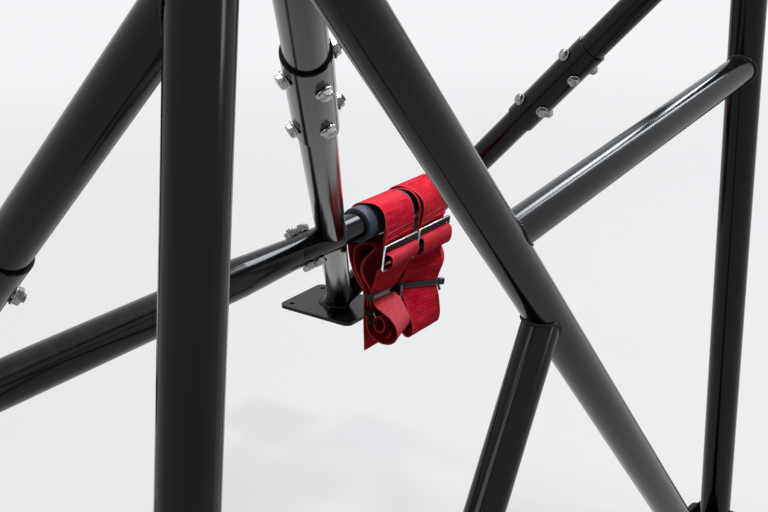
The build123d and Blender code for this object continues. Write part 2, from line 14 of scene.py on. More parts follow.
import bpy
from mathutils import Matrix, Vector, noise
from mathutils.bvhtree import BVHTree


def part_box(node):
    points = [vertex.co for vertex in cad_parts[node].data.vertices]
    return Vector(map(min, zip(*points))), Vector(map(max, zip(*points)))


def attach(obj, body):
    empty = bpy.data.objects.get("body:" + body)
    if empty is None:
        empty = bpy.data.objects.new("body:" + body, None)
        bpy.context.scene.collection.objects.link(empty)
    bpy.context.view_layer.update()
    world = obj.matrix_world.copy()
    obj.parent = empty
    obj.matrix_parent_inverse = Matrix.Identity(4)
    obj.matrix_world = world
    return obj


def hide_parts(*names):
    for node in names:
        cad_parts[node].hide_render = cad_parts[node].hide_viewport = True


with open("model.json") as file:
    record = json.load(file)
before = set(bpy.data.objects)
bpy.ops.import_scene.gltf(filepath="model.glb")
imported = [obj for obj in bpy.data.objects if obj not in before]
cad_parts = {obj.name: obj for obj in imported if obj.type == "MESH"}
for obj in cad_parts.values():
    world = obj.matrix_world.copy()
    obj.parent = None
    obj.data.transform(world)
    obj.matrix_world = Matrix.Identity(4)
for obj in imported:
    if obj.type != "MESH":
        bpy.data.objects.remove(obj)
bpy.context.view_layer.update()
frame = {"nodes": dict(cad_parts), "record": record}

# %% [markdown]
# Everything on the harness bar is placed from the bar's own axis. The grip is a round sleeve
# about that axis, so the middle of its box gives the axis, and later cells measure from there in
# millimetres: y runs to the rear and z up.

# %% Find the axis of the harness bar
MM = 0.001
grip_low, grip_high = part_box("bar_grip")
BAR_Y = (grip_low.y + grip_high.y) / 2
BAR_Z = (grip_low.z + grip_high.z) / 2
GRIP_RADIUS = (grip_high.z - grip_low.z) / 2
ALONG_BAR, TO_REAR, UP = Vector((1, 0, 0)), Vector((0, 1, 0)), Vector((0, 0, 1))


def by_bar(x, y, z):
    """A point at x along the bar, in metres, and y and z from the bar's axis, in millimetres."""
    return Vector((x, BAR_Y + y * MM, BAR_Z + z * MM))


print(f"bar axis y {BAR_Y:.4f} z {BAR_Z:.4f}, grip radius {GRIP_RADIUS:.4f}")

# %% [markdown]
# The camera stands in the open door, about a metre up, and looks down across the cage to the
# harness bar. It was fitted to the tubes' edges: a long lens, turned 35 degrees from the X axis
# and tipped 20 degrees down. A long lens keeps the tubes nearly parallel, as they are in the
# picture.

# %% Place the camera
CAMERA_AT = Vector((-1.0169, -0.5017, 1.0610))
CAMERA_YAW, CAMERA_PITCH = math.radians(34.998), math.radians(20.349)
LENS_MM, SENSOR_MM = 56.25, 36

camera_data = bpy.data.cameras.new("camera")
camera_data.lens, camera_data.sensor_width = LENS_MM, SENSOR_MM
camera = bpy.data.objects.new("camera", camera_data)
bpy.context.scene.collection.objects.link(camera)
camera.location = CAMERA_AT
looking = Vector((
    math.cos(CAMERA_YAW) * math.cos(CAMERA_PITCH),
    math.sin(CAMERA_YAW) * math.cos(CAMERA_PITCH),
    -math.sin(CAMERA_PITCH),
))
camera.rotation_mode = "QUATERNION"
camera.rotation_quaternion = looking.to_track_quat("-Z", "Y")
bpy.context.scene.camera = camera
print("camera looks along", [round(c, 3) for c in looking])

# %% [markdown]
# Floor, world and materials are all drawn as nodes. A few helpers keep that short. Each one adds
# a node to a tree and hands back its output, and a value that goes in may be a plain number, a
# colour or another node's output. A mix node has a set of sockets for each kind of value, so
# the ones for colours are told by their numbers.


# %% Helpers for shader nodes
def plug(tree, value, socket):
    """Feed a socket from another node's output, a colour or a number."""
    if isinstance(value, bpy.types.NodeSocket):
        tree.links.new(value, socket)
    elif isinstance(value, tuple):
        socket.default_value = (*value, 1)
    elif value is not None:
        socket.default_value = value


def add_node(tree, kind, **values):
    """A new node with its inputs fed by name."""
    node = tree.nodes.new(kind)
    for label, value in values.items():
        plug(tree, value, node.inputs[label.replace("_", " ")])
    return node


def math_node(tree, operation, first, second=None, clamp=False):
    """One or two values put through a math operation."""
    node = tree.nodes.new("ShaderNodeMath")
    node.operation, node.use_clamp = operation, clamp
    for value, socket in zip((first, second), node.inputs):
        plug(tree, value, socket)
    return node.outputs[0]


def spread(tree, value, to, of=(0.0, 1.0)):
    """Stretch one range of a value to another range, held at both ends."""
    return add_node(
        tree, "ShaderNodeMapRange", Value=value,
        From_Min=of[0], From_Max=of[1], To_Min=to[0], To_Max=to[1]).outputs[0]


def noise_of(tree, scale, detail, vector=None):
    """Noise over a vector, or else over the object's own coordinates in metres."""
    if vector is None:
        vector = tree.nodes.new("ShaderNodeTexCoord").outputs["Object"]
    return add_node(tree, "ShaderNodeTexNoise", Scale=scale, Detail=detail, Vector=vector).outputs[0]


MIX_INPUTS, MIX_OUTPUT = (0, 6, 7), 2


def blend_colour(tree, mask, first, second):
    """The first colour where a mask is 0 and the second where it is 1."""
    node = tree.nodes.new("ShaderNodeMix")
    node.data_type = "RGBA"
    for value, number in zip((mask, first, second), MIX_INPUTS):
        plug(tree, value, node.inputs[number])
    return node.outputs[MIX_OUTPUT]


def blend_shaders(tree, mask, first, second):
    """The first shader where a mask is 0 and the second where it is 1."""
    node = tree.nodes.new("ShaderNodeMixShader")
    for value, socket in zip((mask, first, second), node.inputs):
        plug(tree, value, socket)
    return node.outputs[0]


def material(name, colour, roughness, metallic=0.0, **more):
    """A material with a Principled shader, and its tree and shader."""
    made = bpy.data.materials.new(name)
    made.use_nodes = True
    shader = made.node_tree.nodes["Principled BSDF"]
    values = {"Base Color": colour, "Roughness": roughness, "Metallic": metallic, **more}
    for label, value in values.items():
        plug(made.node_tree, value, shader.inputs[label.replace("_", " ")])
    return made, made.node_tree, shader


# %% [markdown]
# The stage is a pale floor in a pale world. The camera and glossy rays see both as nearly white,
# so the background stays plain and black paint has something bright to reflect. Near the cage
# the floor keeps its shadow, and further out it fades into the world. What falls on the object
# is another matter: the light comes mostly from soft lamps above, a weak one stands low in
# front, and the floor throws little back, so the undersides of the folds stay dark.

# %% Make the world and the floor
bpy.context.scene.view_settings.view_transform = "Standard"
PALE = (0.90, 0.91, 0.93)
WORLD_TINT, WORLD_LIGHT = (0.93, 0.96, 1.0), 0.10
FLOOR_HALF = 14.0
FLOOR_TONE_HIDDEN, FLOOR_TONE_SEEN = 0.12, 0.40
SHADE_NEAR, SHADE_FAR = 1.2, 4.5
GLOW_NEAR, GLOW_FAR = 0.70, 1.0


def seen_directly(tree):
    """A mask that is 1 for camera, glossy and transmission rays."""
    path = tree.nodes.new("ShaderNodeLightPath").outputs
    mask = math_node(tree, "MAXIMUM", path["Is Camera Ray"], path["Is Glossy Ray"])
    return math_node(tree, "MAXIMUM", mask, path["Is Transmission Ray"])


world = bpy.data.worlds.new("studio")
bpy.context.scene.world = world
world.use_nodes = True
tree = world.node_tree
tree.nodes.clear()
dim = add_node(tree, "ShaderNodeBackground", Color=WORLD_TINT, Strength=WORLD_LIGHT).outputs[0]
white = add_node(tree, "ShaderNodeBackground", Color=PALE).outputs[0]
either = blend_shaders(tree, seen_directly(tree), dim, white)
tree.links.new(either, tree.nodes.new("ShaderNodeOutputWorld").inputs[0])

floor_mesh = bpy.data.meshes.new("floor")
floor_corners = [(x * FLOOR_HALF, y * FLOOR_HALF, 0) for x, y in ((-1, -1), (1, -1), (1, 1), (-1, 1))]
floor_mesh.from_pydata(floor_corners, [], [(0, 1, 2, 3)])
floor = bpy.data.objects.new("floor", floor_mesh)
bpy.context.scene.collection.objects.link(floor)

floor_paint, tree, matte = material("pale_floor", PALE, 0.9)
floor_tone = spread(tree, seen_directly(tree), to=(FLOOR_TONE_HIDDEN, FLOOR_TONE_SEEN))
tree.links.new(floor_tone, matte.inputs["Base Color"])
away = tree.nodes.new("ShaderNodeVectorMath")
away.operation = "LENGTH"
tree.links.new(tree.nodes.new("ShaderNodeTexCoord").outputs["Object"], away.inputs[0])
fade = spread(tree, away.outputs["Value"], to=(GLOW_NEAR, GLOW_FAR), of=(SHADE_NEAR, SHADE_FAR))
glow = add_node(tree, "ShaderNodeEmission", Color=PALE).outputs[0]
share = math_node(tree, "MULTIPLY", seen_directly(tree), fade)
either = blend_shaders(tree, share, matte.outputs[0], glow)
tree.links.new(either, tree.nodes["Material Output"].inputs["Surface"])
floor.data.materials.append(floor_paint)
print("floor and world ready")

# %% [markdown]
# Five square area lamps stand for the openings round the cage. Each is a point, a size in
# metres, a power in watts and a tint, and all of them face the belts.

# %% Hang the lamps
BELTS_AT = Vector((0.35, BAR_Y, BAR_Z))
LAMPS = (
    ("rear_window", (0.1, 1.2, 3.0), 0.55, 46, (1.0, 0.93, 0.84)),
    ("side_window", (2.7, 0.2, 2.5), 1.1, 62, (0.86, 0.93, 1.0)),
    ("front_window", (0.75, -1.0, 3.3), 0.45, 100, (1.0, 0.97, 0.98)),
    ("door_light", (-2.6, 0.9, 1.9), 1.2, 16, (1.0, 0.95, 0.9)),
    ("low_window", (0.5, -2.1, 0.75), 0.45, 6, (0.92, 0.95, 1.0)),
)
for name, at, size, power, tint in LAMPS:
    lamp_data = bpy.data.lights.new(name, "AREA")
    lamp_data.shape, lamp_data.size, lamp_data.energy, lamp_data.color = "SQUARE", size, power, tint
    lamp = bpy.data.objects.new(name, lamp_data)
    lamp.location = at
    lamp.rotation_mode = "QUATERNION"
    lamp.rotation_quaternion = (BELTS_AT - Vector(at)).to_track_quat("-Z", "Y")
    bpy.context.scene.collection.objects.link(lamp)
print("lamps:", [lamp[0] for lamp in LAMPS])

# %% [markdown]
# Real surfaces are never one flat colour. Three effects come back on several materials here, so
# each is a node group that is built once: a fine grain, wear along edges, and dust that settles
# on faces that look up. A group only puts out masks and heights. The shader stays in each
# material, so that the finish can be read there.


# %% Build the shared node groups
def new_group(name, inputs, outputs):
    """An empty shader group with named float sockets, and what goes in and comes out of it."""
    group = bpy.data.node_groups.new(name, "ShaderNodeTree")
    for label, value in inputs.items():
        socket = group.interface.new_socket(label, in_out="INPUT", socket_type="NodeSocketFloat")
        socket.default_value = value
    for label in outputs:
        group.interface.new_socket(label, in_out="OUTPUT", socket_type="NodeSocketFloat")
    return group, group.nodes.new("NodeGroupInput").outputs, group.nodes.new("NodeGroupOutput").inputs


def normal_of(tree):
    """The way that the surface faces."""
    return tree.nodes.new("ShaderNodeNewGeometry").outputs["Normal"]


grain_group, given, result = new_group("fine_grain", {"Scale": 600.0, "Patches": 14.0}, ("Height", "Tone"))
patches = noise_of(grain_group, given["Patches"], 5.0)
grain_group.links.new(noise_of(grain_group, given["Scale"], 4.0), result["Height"])
grain_group.links.new(spread(grain_group, patches, to=(0, 1), of=(0.32, 0.68)), result["Tone"])

wear_group, given, result = new_group("edge_wear", {"Radius": 0.001, "Amount": 1.0}, ("Mask",))
bevel = add_node(wear_group, "ShaderNodeBevel", Radius=given["Radius"])
bevel.samples = 4
facing = wear_group.nodes.new("ShaderNodeVectorMath")
facing.operation = "DOT_PRODUCT"
for source, socket in zip((bevel.outputs[0], normal_of(wear_group)), facing.inputs):
    wear_group.links.new(source, socket)
edge = spread(wear_group, facing.outputs["Value"], to=(1.0, 0.0), of=(0.78, 0.97))
rubbed = spread(wear_group, noise_of(wear_group, 160.0, 6.0), to=(0.25, 1.0), of=(0.38, 0.56))
worn = math_node(wear_group, "MULTIPLY", edge, rubbed)
wear_group.links.new(math_node(wear_group, "MULTIPLY", worn, given["Amount"], clamp=True), result["Mask"])

dust_group, given, result = new_group("settled_dust", {"Amount": 0.3}, ("Mask",))
upward = add_node(dust_group, "ShaderNodeSeparateXYZ", Vector=normal_of(dust_group)).outputs["Z"]
lying = spread(dust_group, upward, to=(0.0, 1.0), of=(0.2, 0.95))
speckled = spread(dust_group, noise_of(dust_group, 85.0, 8.0), to=(0.1, 1.0), of=(0.4, 0.72))
settled = math_node(dust_group, "MULTIPLY", lying, speckled)
dust_group.links.new(math_node(dust_group, "MULTIPLY", settled, given["Amount"], clamp=True), result["Mask"])
print("node groups:", [group.name for group in bpy.data.node_groups])

# %% [markdown]
# Each material starts from a plain Principled shader with its constant values on the shader's
# own sockets. What changes over the surface, such as a colour that turns paler with dust or a
# roughness that varies in patches, comes in through the groups.


# %% Helpers for materials
def effect(tree, group, **values):
    """Place a shared group in a material with its own values, and give its outputs."""
    node = tree.nodes.new("ShaderNodeGroup")
    node.node_tree = group
    for label, value in values.items():
        node.inputs[label].default_value = value
    return node.outputs


def bump(tree, shader, height, distance, strength):
    """Raise the surface by a height, in metres at full height."""
    node = add_node(tree, "ShaderNodeBump", Height=height, Distance=distance, Strength=strength)
    tree.links.new(node.outputs[0], shader.inputs["Normal"])


def set_surface(tree, shader, colour, roughness):
    """Link what varies over a surface: its colour and its roughness."""
    tree.links.new(colour, shader.inputs["Base Color"])
    tree.links.new(roughness, shader.inputs["Roughness"])


# %% [markdown]
# The tubes are painted satin black. The paint is glossy enough for a thin bright line along each
# tube's rim, with a faint orange-peel texture, uneven gloss, and a little dust on top.

# %% Black cage paint
PAINT_BLACK, PAINT_DUST, PAINT_RUBBED = (0.0018, 0.002, 0.0026), (0.16, 0.155, 0.15), (0.08, 0.08, 0.085)
satin_black, tree, shader = material("satin_black", PAINT_BLACK, 0.14, Specular_IOR_Level=0.18)
grain = effect(tree, grain_group, Scale=150.0, Patches=9.0)
dust = effect(tree, dust_group, Amount=0.035)
wear = effect(tree, wear_group, Radius=0.0012, Amount=0.5)
dusty = blend_colour(tree, dust["Mask"], PAINT_BLACK, PAINT_DUST)
gloss = math_node(tree, "ADD", spread(tree, grain["Tone"], to=(0.12, 0.16)), dust["Mask"])
set_surface(tree, shader, blend_colour(tree, wear["Mask"], dusty, PAINT_RUBBED), gloss)
bump(tree, shader, grain["Height"], distance=0.00003, strength=0.1)

# %% [markdown]
# Bolts, nuts and washers are zinc plated. Zinc is a cool grey metal with faint blotches, and its
# edges polish where a spanner has turned them.

# %% Zinc plate
ZINC_DARK, ZINC_PALE, ZINC_POLISHED = (0.15, 0.155, 0.165), (0.38, 0.38, 0.37), (0.80, 0.80, 0.79)
zinc_plate, tree, shader = material("zinc_plate", (0.28, 0.29, 0.30), 0.26, 1.0)
grain = effect(tree, grain_group, Scale=1500.0, Patches=260.0)
wear = effect(tree, wear_group, Radius=0.0006, Amount=1.0)
plated = blend_colour(tree, grain["Tone"], ZINC_DARK, ZINC_PALE)
polished = blend_colour(tree, wear["Mask"], plated, ZINC_POLISHED)
set_surface(tree, shader, polished, spread(tree, grain["Tone"], to=(0.32, 0.18)))
bump(tree, shader, grain["Height"], distance=0.00002, strength=0.2)

# %% [markdown]
# The grip is a sleeve of matte rubber with a cool grey cast, which dust makes paler still.

# %% Rubber grip
RUBBER_DARK, RUBBER_PALE, RUBBER_DUST = (0.016, 0.023, 0.033), (0.032, 0.043, 0.058), (0.09, 0.115, 0.15)
matte_rubber, tree, shader = material("matte_rubber", (0.012, 0.015, 0.020), 0.62, Specular_IOR_Level=0.3)
grain = effect(tree, grain_group, Scale=2200.0, Patches=60.0)
dust = effect(tree, dust_group, Amount=0.35)
tinted = blend_colour(tree, grain["Tone"], RUBBER_DARK, RUBBER_PALE)
dusty = blend_colour(tree, dust["Mask"], tinted, RUBBER_DUST)
set_surface(tree, shader, dusty, spread(tree, grain["Tone"], to=(0.55, 0.7)))
bump(tree, shader, grain["Height"], distance=0.00012, strength=0.6)

# %% [markdown]
# The adjusters are stamped from steel and painted black. They rub on each other and on the
# webbing, so their edges are worn to bright metal, which draws a thin light line round them. The
# mesh marks those edges with an attribute, and a noise breaks the wear up.

# %% Black steel with worn bright edges
STEEL_BLACK, STEEL_BARE = (0.0012, 0.0013, 0.0018), (0.90, 0.90, 0.91)
worn_steel, tree, shader = material("worn_steel", STEEL_BLACK, 0.3, Specular_IOR_Level=0.05)
grain = effect(tree, grain_group, Scale=900.0, Patches=120.0)
rim = tree.nodes.new("ShaderNodeAttribute")
rim.attribute_name = "rim"
scuffs = spread(tree, noise_of(tree, 300.0, 5.0), to=(0.65, 1.0), of=(0.30, 0.48))
bare = math_node(tree, "MULTIPLY", rim.outputs["Fac"], scuffs, clamp=True)
colour = blend_colour(tree, bare, STEEL_BLACK, STEEL_BARE)
set_surface(tree, shader, colour, spread(tree, grain["Tone"], to=(0.24, 0.4)))
tree.links.new(bare, shader.inputs["Metallic"])
bump(tree, shader, grain["Height"], distance=0.00004, strength=0.5)

# %% [markdown]
# Cable ties are moulded in black nylon: smooth, half glossy, with a very fine grain.

# %% Black nylon
NYLON_BLACK, NYLON_DUST = (0.002, 0.0024, 0.0035), (0.2, 0.2, 0.2)
black_nylon, tree, shader = material("black_nylon", NYLON_BLACK, 0.15, Specular_IOR_Level=0.22)
grain = effect(tree, grain_group, Scale=1400.0, Patches=180.0)
dust = effect(tree, dust_group, Amount=0.05)
dusty = blend_colour(tree, dust["Mask"], NYLON_BLACK, NYLON_DUST)
set_surface(tree, shader, dusty, spread(tree, grain["Tone"], to=(0.08, 0.18)))
bump(tree, shader, grain["Height"], distance=0.00003, strength=0.5)

# %% [markdown]
# Belt webbing is woven from thousands of fine polyester threads. From here it shows as close
# ribs across the strap, with finer threads between them. The strap's own coordinates, stored in
# metres along and across it, carry the ribs round every bend. No two ribs are quite alike: some
# are painted dark, as shade on ribs that sit deeper, and others are painted pale, partly as rub
# wear and partly as painted highlight, so a stretched noise streaks along them.

# %% Webbing: the height of its ribs and threads
STRAP_WIDTH, STRAP_THICK = 0.075, 0.0018
RIB_PITCH, THREAD_PITCH = 0.0022, 0.0009
STREAKS_ACROSS, STREAKS_ALONG = 26.0, 560.0
RED_FACE = (0.70, 0.002, 0.022)
red_webbing, tree, shader = material(
    "red_webbing", RED_FACE, 0.7, Specular_IOR_Level=0.07, Sheen_Weight=0.05, Sheen_Roughness=0.32,
    Sheen_Tint=(1.0, 0.62, 0.58))
strap_uv = tree.nodes.new("ShaderNodeUVMap")
strap_uv.uv_map = "strap"
across, run = add_node(tree, "ShaderNodeSeparateXYZ", Vector=strap_uv.outputs[0]).outputs[:2]

wander = spread(tree, noise_of(tree, 420.0, 2.0), to=(-0.9, 0.9))
phase = math_node(tree, "ADD", math_node(tree, "MULTIPLY", run, 2 * math.pi / RIB_PITCH), wander)
rib = spread(tree, math_node(tree, "SINE", phase), to=(0.0, 1.0), of=(-0.8, 0.9))
phase = math_node(tree, "MULTIPLY", across, 2 * math.pi / THREAD_PITCH)
thread = spread(tree, math_node(tree, "SINE", phase), to=(0.0, 1.0), of=(-1.0, 1.0))
stretched = add_node(
    tree, "ShaderNodeCombineXYZ", X=math_node(tree, "MULTIPLY", across, STREAKS_ACROSS),
    Y=math_node(tree, "MULTIPLY", run, STREAKS_ALONG))
streaks = noise_of(tree, 1.0, 4.0, stretched.outputs[0])
fuzz = effect(tree, grain_group, Scale=2600.0, Patches=45.0)
woven = rib
for layer, height in ((thread, 0.22), (fuzz["Height"], 0.35), (streaks, 0.9)):
    woven = math_node(tree, "ADD", woven, math_node(tree, "MULTIPLY", layer, height))
bump(tree, shader, woven, distance=0.00030, strength=0.8)

# %% [markdown]
# The colour follows the same ribs. Between them it is painted darker, as shade in the grooves.
# On a rib it is pale where the rib is rubbed, which is partly rub wear and partly painted highlight
# on rib tops. It is palest in two places: along the strap's fuzzy edges, where the paleness is
# partly beaten fuzz and partly painted highlight along the rims, and on the parts of a route that
# are marked as worn, such as the outer sides of the rolls and of the coil, where it is partly rub
# wear and partly painted highlight on faces that the light falls on.

# %% Webbing: its reds
RED_GROOVE_SHADE, RED_SHADOW = (0.22, 0.0005, 0.012), (0.15, 0.0005, 0.010)
# Two pale reds: each stands partly for rub wear and fuzz and partly for painted highlight.
RED_RUBBED_AND_LIT, RED_WORN_AND_LIT = (0.92, 0.10, 0.11), (0.95, 0.17, 0.20)
FUZZ_SHARE = 0.09
EDGE_START, EDGE_END = 0.0352, 0.0374
shadowed = spread(tree, streaks, to=(0.85, 0.0), of=(0.34, 0.52))
# Paler rib tops along the streaks: partly rub wear, partly painted highlight.
rubbed = math_node(tree, "MULTIPLY", spread(tree, streaks, to=(0.0, 0.5), of=(0.55, 0.72)), rib)
# The route's worn marks paint paler patches that are partly rub wear and partly painted highlight on the
# crown, the rolls, the coil and the fold ridges, where light falls.
worn_and_lit_mark = tree.nodes.new("ShaderNodeAttribute")
worn_and_lit_mark.attribute_name = "worn"
worn = math_node(tree, "MULTIPLY", worn_and_lit_mark.outputs["Fac"], spread(tree, rib, to=(0.06, 1.0)))
from_middle = math_node(tree, "ABSOLUTE", math_node(tree, "SUBTRACT", across, STRAP_WIDTH / 2))
# Paler strap edges: partly beaten fuzz, partly painted highlight along the rims.
selvedge = spread(tree, from_middle, to=(0.0, 0.55), of=(EDGE_START, EDGE_END))
fuzzy = math_node(tree, "MULTIPLY", fuzz["Tone"], FUZZ_SHARE)
# Between the ribs the red is painted darker, as shade in the grooves.
red = blend_colour(tree, rib, RED_GROOVE_SHADE, RED_FACE)
for mask, tone in (
    (shadowed, RED_SHADOW), (rubbed, RED_RUBBED_AND_LIT), (fuzzy, RED_RUBBED_AND_LIT), (worn, RED_WORN_AND_LIT),
    (selvedge, RED_RUBBED_AND_LIT),
):
    red = blend_colour(tree, mask, red, tone)
set_surface(tree, shader, red, spread(tree, rib, to=(0.86, 0.68)))

# %% [markdown]
# The seams are sewn in a slightly paler thread, with a fine twist of its own.

# %% Sewing thread
pale_thread, tree, shader = material("pale_thread", (0.72, 0.06, 0.06), 0.5)
grain = effect(tree, grain_group, Scale=3000.0, Patches=400.0)
twisted = blend_colour(tree, grain["Tone"], (0.55, 0.02, 0.03), (0.86, 0.16, 0.14))
tree.links.new(twisted, shader.inputs["Base Color"])
bump(tree, shader, grain["Height"], distance=0.0001, strength=0.5)
print("materials:", [made.name for made in bpy.data.materials])

# %% [markdown]
# The CAD nodes keep their shapes and take their finish from the record's material slots.

# %% Give each CAD node its finish
FINISHES = {
    "cage_paint": satin_black, "bolt_zinc": zinc_plate, "grip_rubber": matte_rubber,
    "webbing": red_webbing, "adjuster_steel": worn_steel, "tie_plastic": black_nylon,
}
for part in frame["record"]["subparts"]:
    for slot in frame["nodes"][part["node"]].material_slots:
        slot.material = FINISHES[part["material_slot"]]
print("finishes given to", len(frame["nodes"]), "nodes")

# %% [markdown]
# New pieces are built as meshes in code. One small helper turns points and faces into an object
# that rides with the cage, has its slot's finish, and is smooth shaded except at sharp edges.


# %% Helpers that make a piece
def piece(name, points, faces, slot_name, sharp_degrees, finish=None):
    """A mesh object in the shared frame that rides on the cage."""
    mesh = bpy.data.meshes.new(name)
    mesh.from_pydata([tuple(p) for p in points], [], faces)
    mesh.validate()
    mesh.shade_smooth()
    mesh.set_sharp_from_angle(angle=math.radians(sharp_degrees))
    mesh.materials.append(finish or FINISHES[slot_name])
    made = bpy.data.objects.new(name, mesh)
    bpy.context.scene.collection.objects.link(made)
    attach(made, "root")
    return made


def around(count):
    """The angles of a full turn in even steps."""
    return [2 * math.pi * k / count for k in range(count)]


def circle(middle, side, up, radius, count):
    """Points of a circle, from one way towards another."""
    return [middle + (side * math.cos(turn) + up * math.sin(turn)) * radius for turn in around(count)]


def rounded_outline(wide, high, corner, rise, steps):
    """Points of a rectangle with rounded corners, about a middle that is raised."""
    spots = []
    for x, z, first in ((1, 1, 0), (-1, 1, 90), (-1, -1, 180), (1, -1, 270)):
        middle_x, middle_z = x * (wide / 2 - corner), rise + z * (high / 2 - corner)
        for step in range(steps + 1):
            angle = math.radians(first + step * 90 / steps)
            spots.append((middle_x + corner * math.cos(angle), middle_z + corner * math.sin(angle)))
    return spots


def ring_faces(rows, columns, first=0, closed=False):
    """Quads between rows of a grid of rings, each ring closed on itself."""
    faces = []
    for row in range(rows if closed else rows - 1):
        below, above = first + row * columns, first + (row + 1) % rows * columns
        for column in range(columns):
            after = (column + 1) % columns
            faces.append((below + column, below + after, above + after, above + column))
    return faces


def solid_faces(rows, columns):
    """The same quads with a cap on the first ring and on the last."""
    last = (rows - 1) * columns
    caps = tuple(reversed(range(columns))), tuple(range(last, last + columns))
    return [*ring_faces(rows, columns), *caps]


# %% [markdown]
# Every brace is welded where it meets another tube. A weld bead is a row of small overlapping
# ripples that follows the seam, which is a saddle-shaped curve. Working that curve out on paper
# is hard, but rays find it easily: they run along the brace's surface and stop where they hit
# the other tube. A thin ring is then swept along the hits, and its size swells and shrinks with
# each ripple. Where a thick tube meets a thinner one, some rays miss, and the bead stops there.

# %% Weld beads where tubes meet
BEAD_RADIUS, BEAD_COLUMNS = 0.0027, 8
RIPPLE_PITCH, RIPPLE_ROWS = 0.0030, 5
RIPPLE_LOW, RIPPLE_SWELL, RIPPLE_UNEVEN, UNEVEN_SCALE = 0.86, 0.2, 0.06, 220
BEAD_RAYS, FEWEST_HITS, FEWEST_RIPPLES = 96, 7, 4
TAPER_START = 0.2


def tree_of(*names):
    """A ray-casting tree of CAD nodes."""
    points, faces = [], []
    for name in names:
        mesh = frame["nodes"][name].data
        base = len(points)
        points.extend(v.co.copy() for v in mesh.vertices)
        faces.extend([base + i for i in p.vertices] for p in mesh.polygons)
    return BVHTree.FromPolygons(points, faces)


def seam_runs(start, way, radius, target):
    """Runs of points on a seam, each with its way out, and whether the seam closes on itself."""
    side = way.orthogonal().normalized()
    up = way.cross(side)
    hits = []
    for turn in around(BEAD_RAYS):
        out = side * math.cos(turn) + up * math.sin(turn)
        hit = target.ray_cast(start + out * radius, way)[0]
        hits.append(None if hit is None else (hit, out))
    if None not in hits:
        return [hits], True
    gap, runs = hits.index(None), [[]]
    for spot in hits[gap:] + hits[:gap]:
        if spot is not None:
            runs[-1].append(spot)
        elif runs[-1]:
            runs.append([])
    return [found for found in runs if len(found) >= FEWEST_HITS], False


def weld_bead(name, start, end, radius, onto):
    """A rippled bead where a round tube that runs from start to end meets other nodes."""
    way = (end - start).normalized()
    runs, closed = seam_runs(start, way, radius, tree_of(*onto))
    points, faces = [], []
    for seam in runs:
        spans = len(seam) if closed else len(seam) - 1
        length = sum((seam[(i + 1) % len(seam)][0] - seam[i][0]).length for i in range(spans))
        rows = max(FEWEST_RIPPLES, round(length / RIPPLE_PITCH)) * RIPPLE_ROWS
        faces.extend(ring_faces(rows, BEAD_COLUMNS, len(points), closed))
        for row in range(rows):
            place = row / rows * spans
            low, part = int(place), place - int(place)
            (at, out), (next_at, next_out) = seam[low], seam[(low + 1) % len(seam)]
            at, out = at.lerp(next_at, part), out.lerp(next_out, part).normalized()
            swell = RIPPLE_LOW + RIPPLE_SWELL * math.sin(math.pi * (row % RIPPLE_ROWS) / RIPPLE_ROWS)
            swell += RIPPLE_UNEVEN * noise.noise(at * UNEVEN_SCALE)
            if not closed:  # an open bead tapers at both ends
                swell *= min(1.0, (TAPER_START + min(row, rows - 1 - row)) / RIPPLE_ROWS) ** 0.5
            points.extend(circle(at, out, -way, BEAD_RADIUS * swell, BEAD_COLUMNS))
    print(name, "follows", sum(len(seam) for seam in runs), "of", BEAD_RAYS, "rays")
    piece(name, points, faces, "cage_paint", sharp_degrees=70)


# %% [markdown]
# The beads need each tube's axis. These are the same named points that the CAD model was drawn
# from: where the braces meet in the plane of the hoop, and where the stays and the rear diagonal
# start and land.

# %% Lay beads at every joint of the cage
LEG_FOOT_X, LEG_LEAN = 0.600, math.tan(math.radians(6.6))


def on_leg(z, side=1):
    """A point on the axis of a hoop leg at a height."""
    return Vector((side * (LEG_FOOT_X - LEG_LEAN * z), 0, z))


JUNCTION = Vector((-0.020, 0, 0.593))
DIAGONAL_TOP = on_leg(1.080, -1)
FALL = (DIAGONAL_TOP - JUNCTION) / (DIAGONAL_TOP.z - JUNCTION.z)
CROSS_LOW, CROSS_HIGH = JUNCTION + FALL * (0.695 - JUNCTION.z), on_leg(0.751)
STRUT_FOOT = Vector((-0.387, 0, 0))
REAR_START = JUNCTION + FALL * (1.009 - JUNCTION.z)
STAY_TOP, STAY_FOOT = on_leg(0.976), Vector((0.507, 0.658, 0.276))
NEAR_STAY_TOP, NEAR_STAY_FOOT = STAY_TOP.lerp(STAY_FOOT, 0.2), STAY_TOP.lerp(STAY_FOOT, 0.8)
STRUT_MIDDLE, CROSS_MIDDLE = STRUT_FOOT.lerp(JUNCTION, 0.5), CROSS_LOW.lerp(CROSS_HIGH, 0.5)
FLIP = Matrix.Scale(-1, 4, ALONG_BAR)
BAR_MIDDLE, BAR_LEFT = Vector((0.3, BAR_Y, BAR_Z)), Vector((0.6, BAR_Y, BAR_Z))
DIAGONAL_R, BRACE_R, CROSS_R, BAR_R = 0.0225, 0.020, 0.019, 0.025
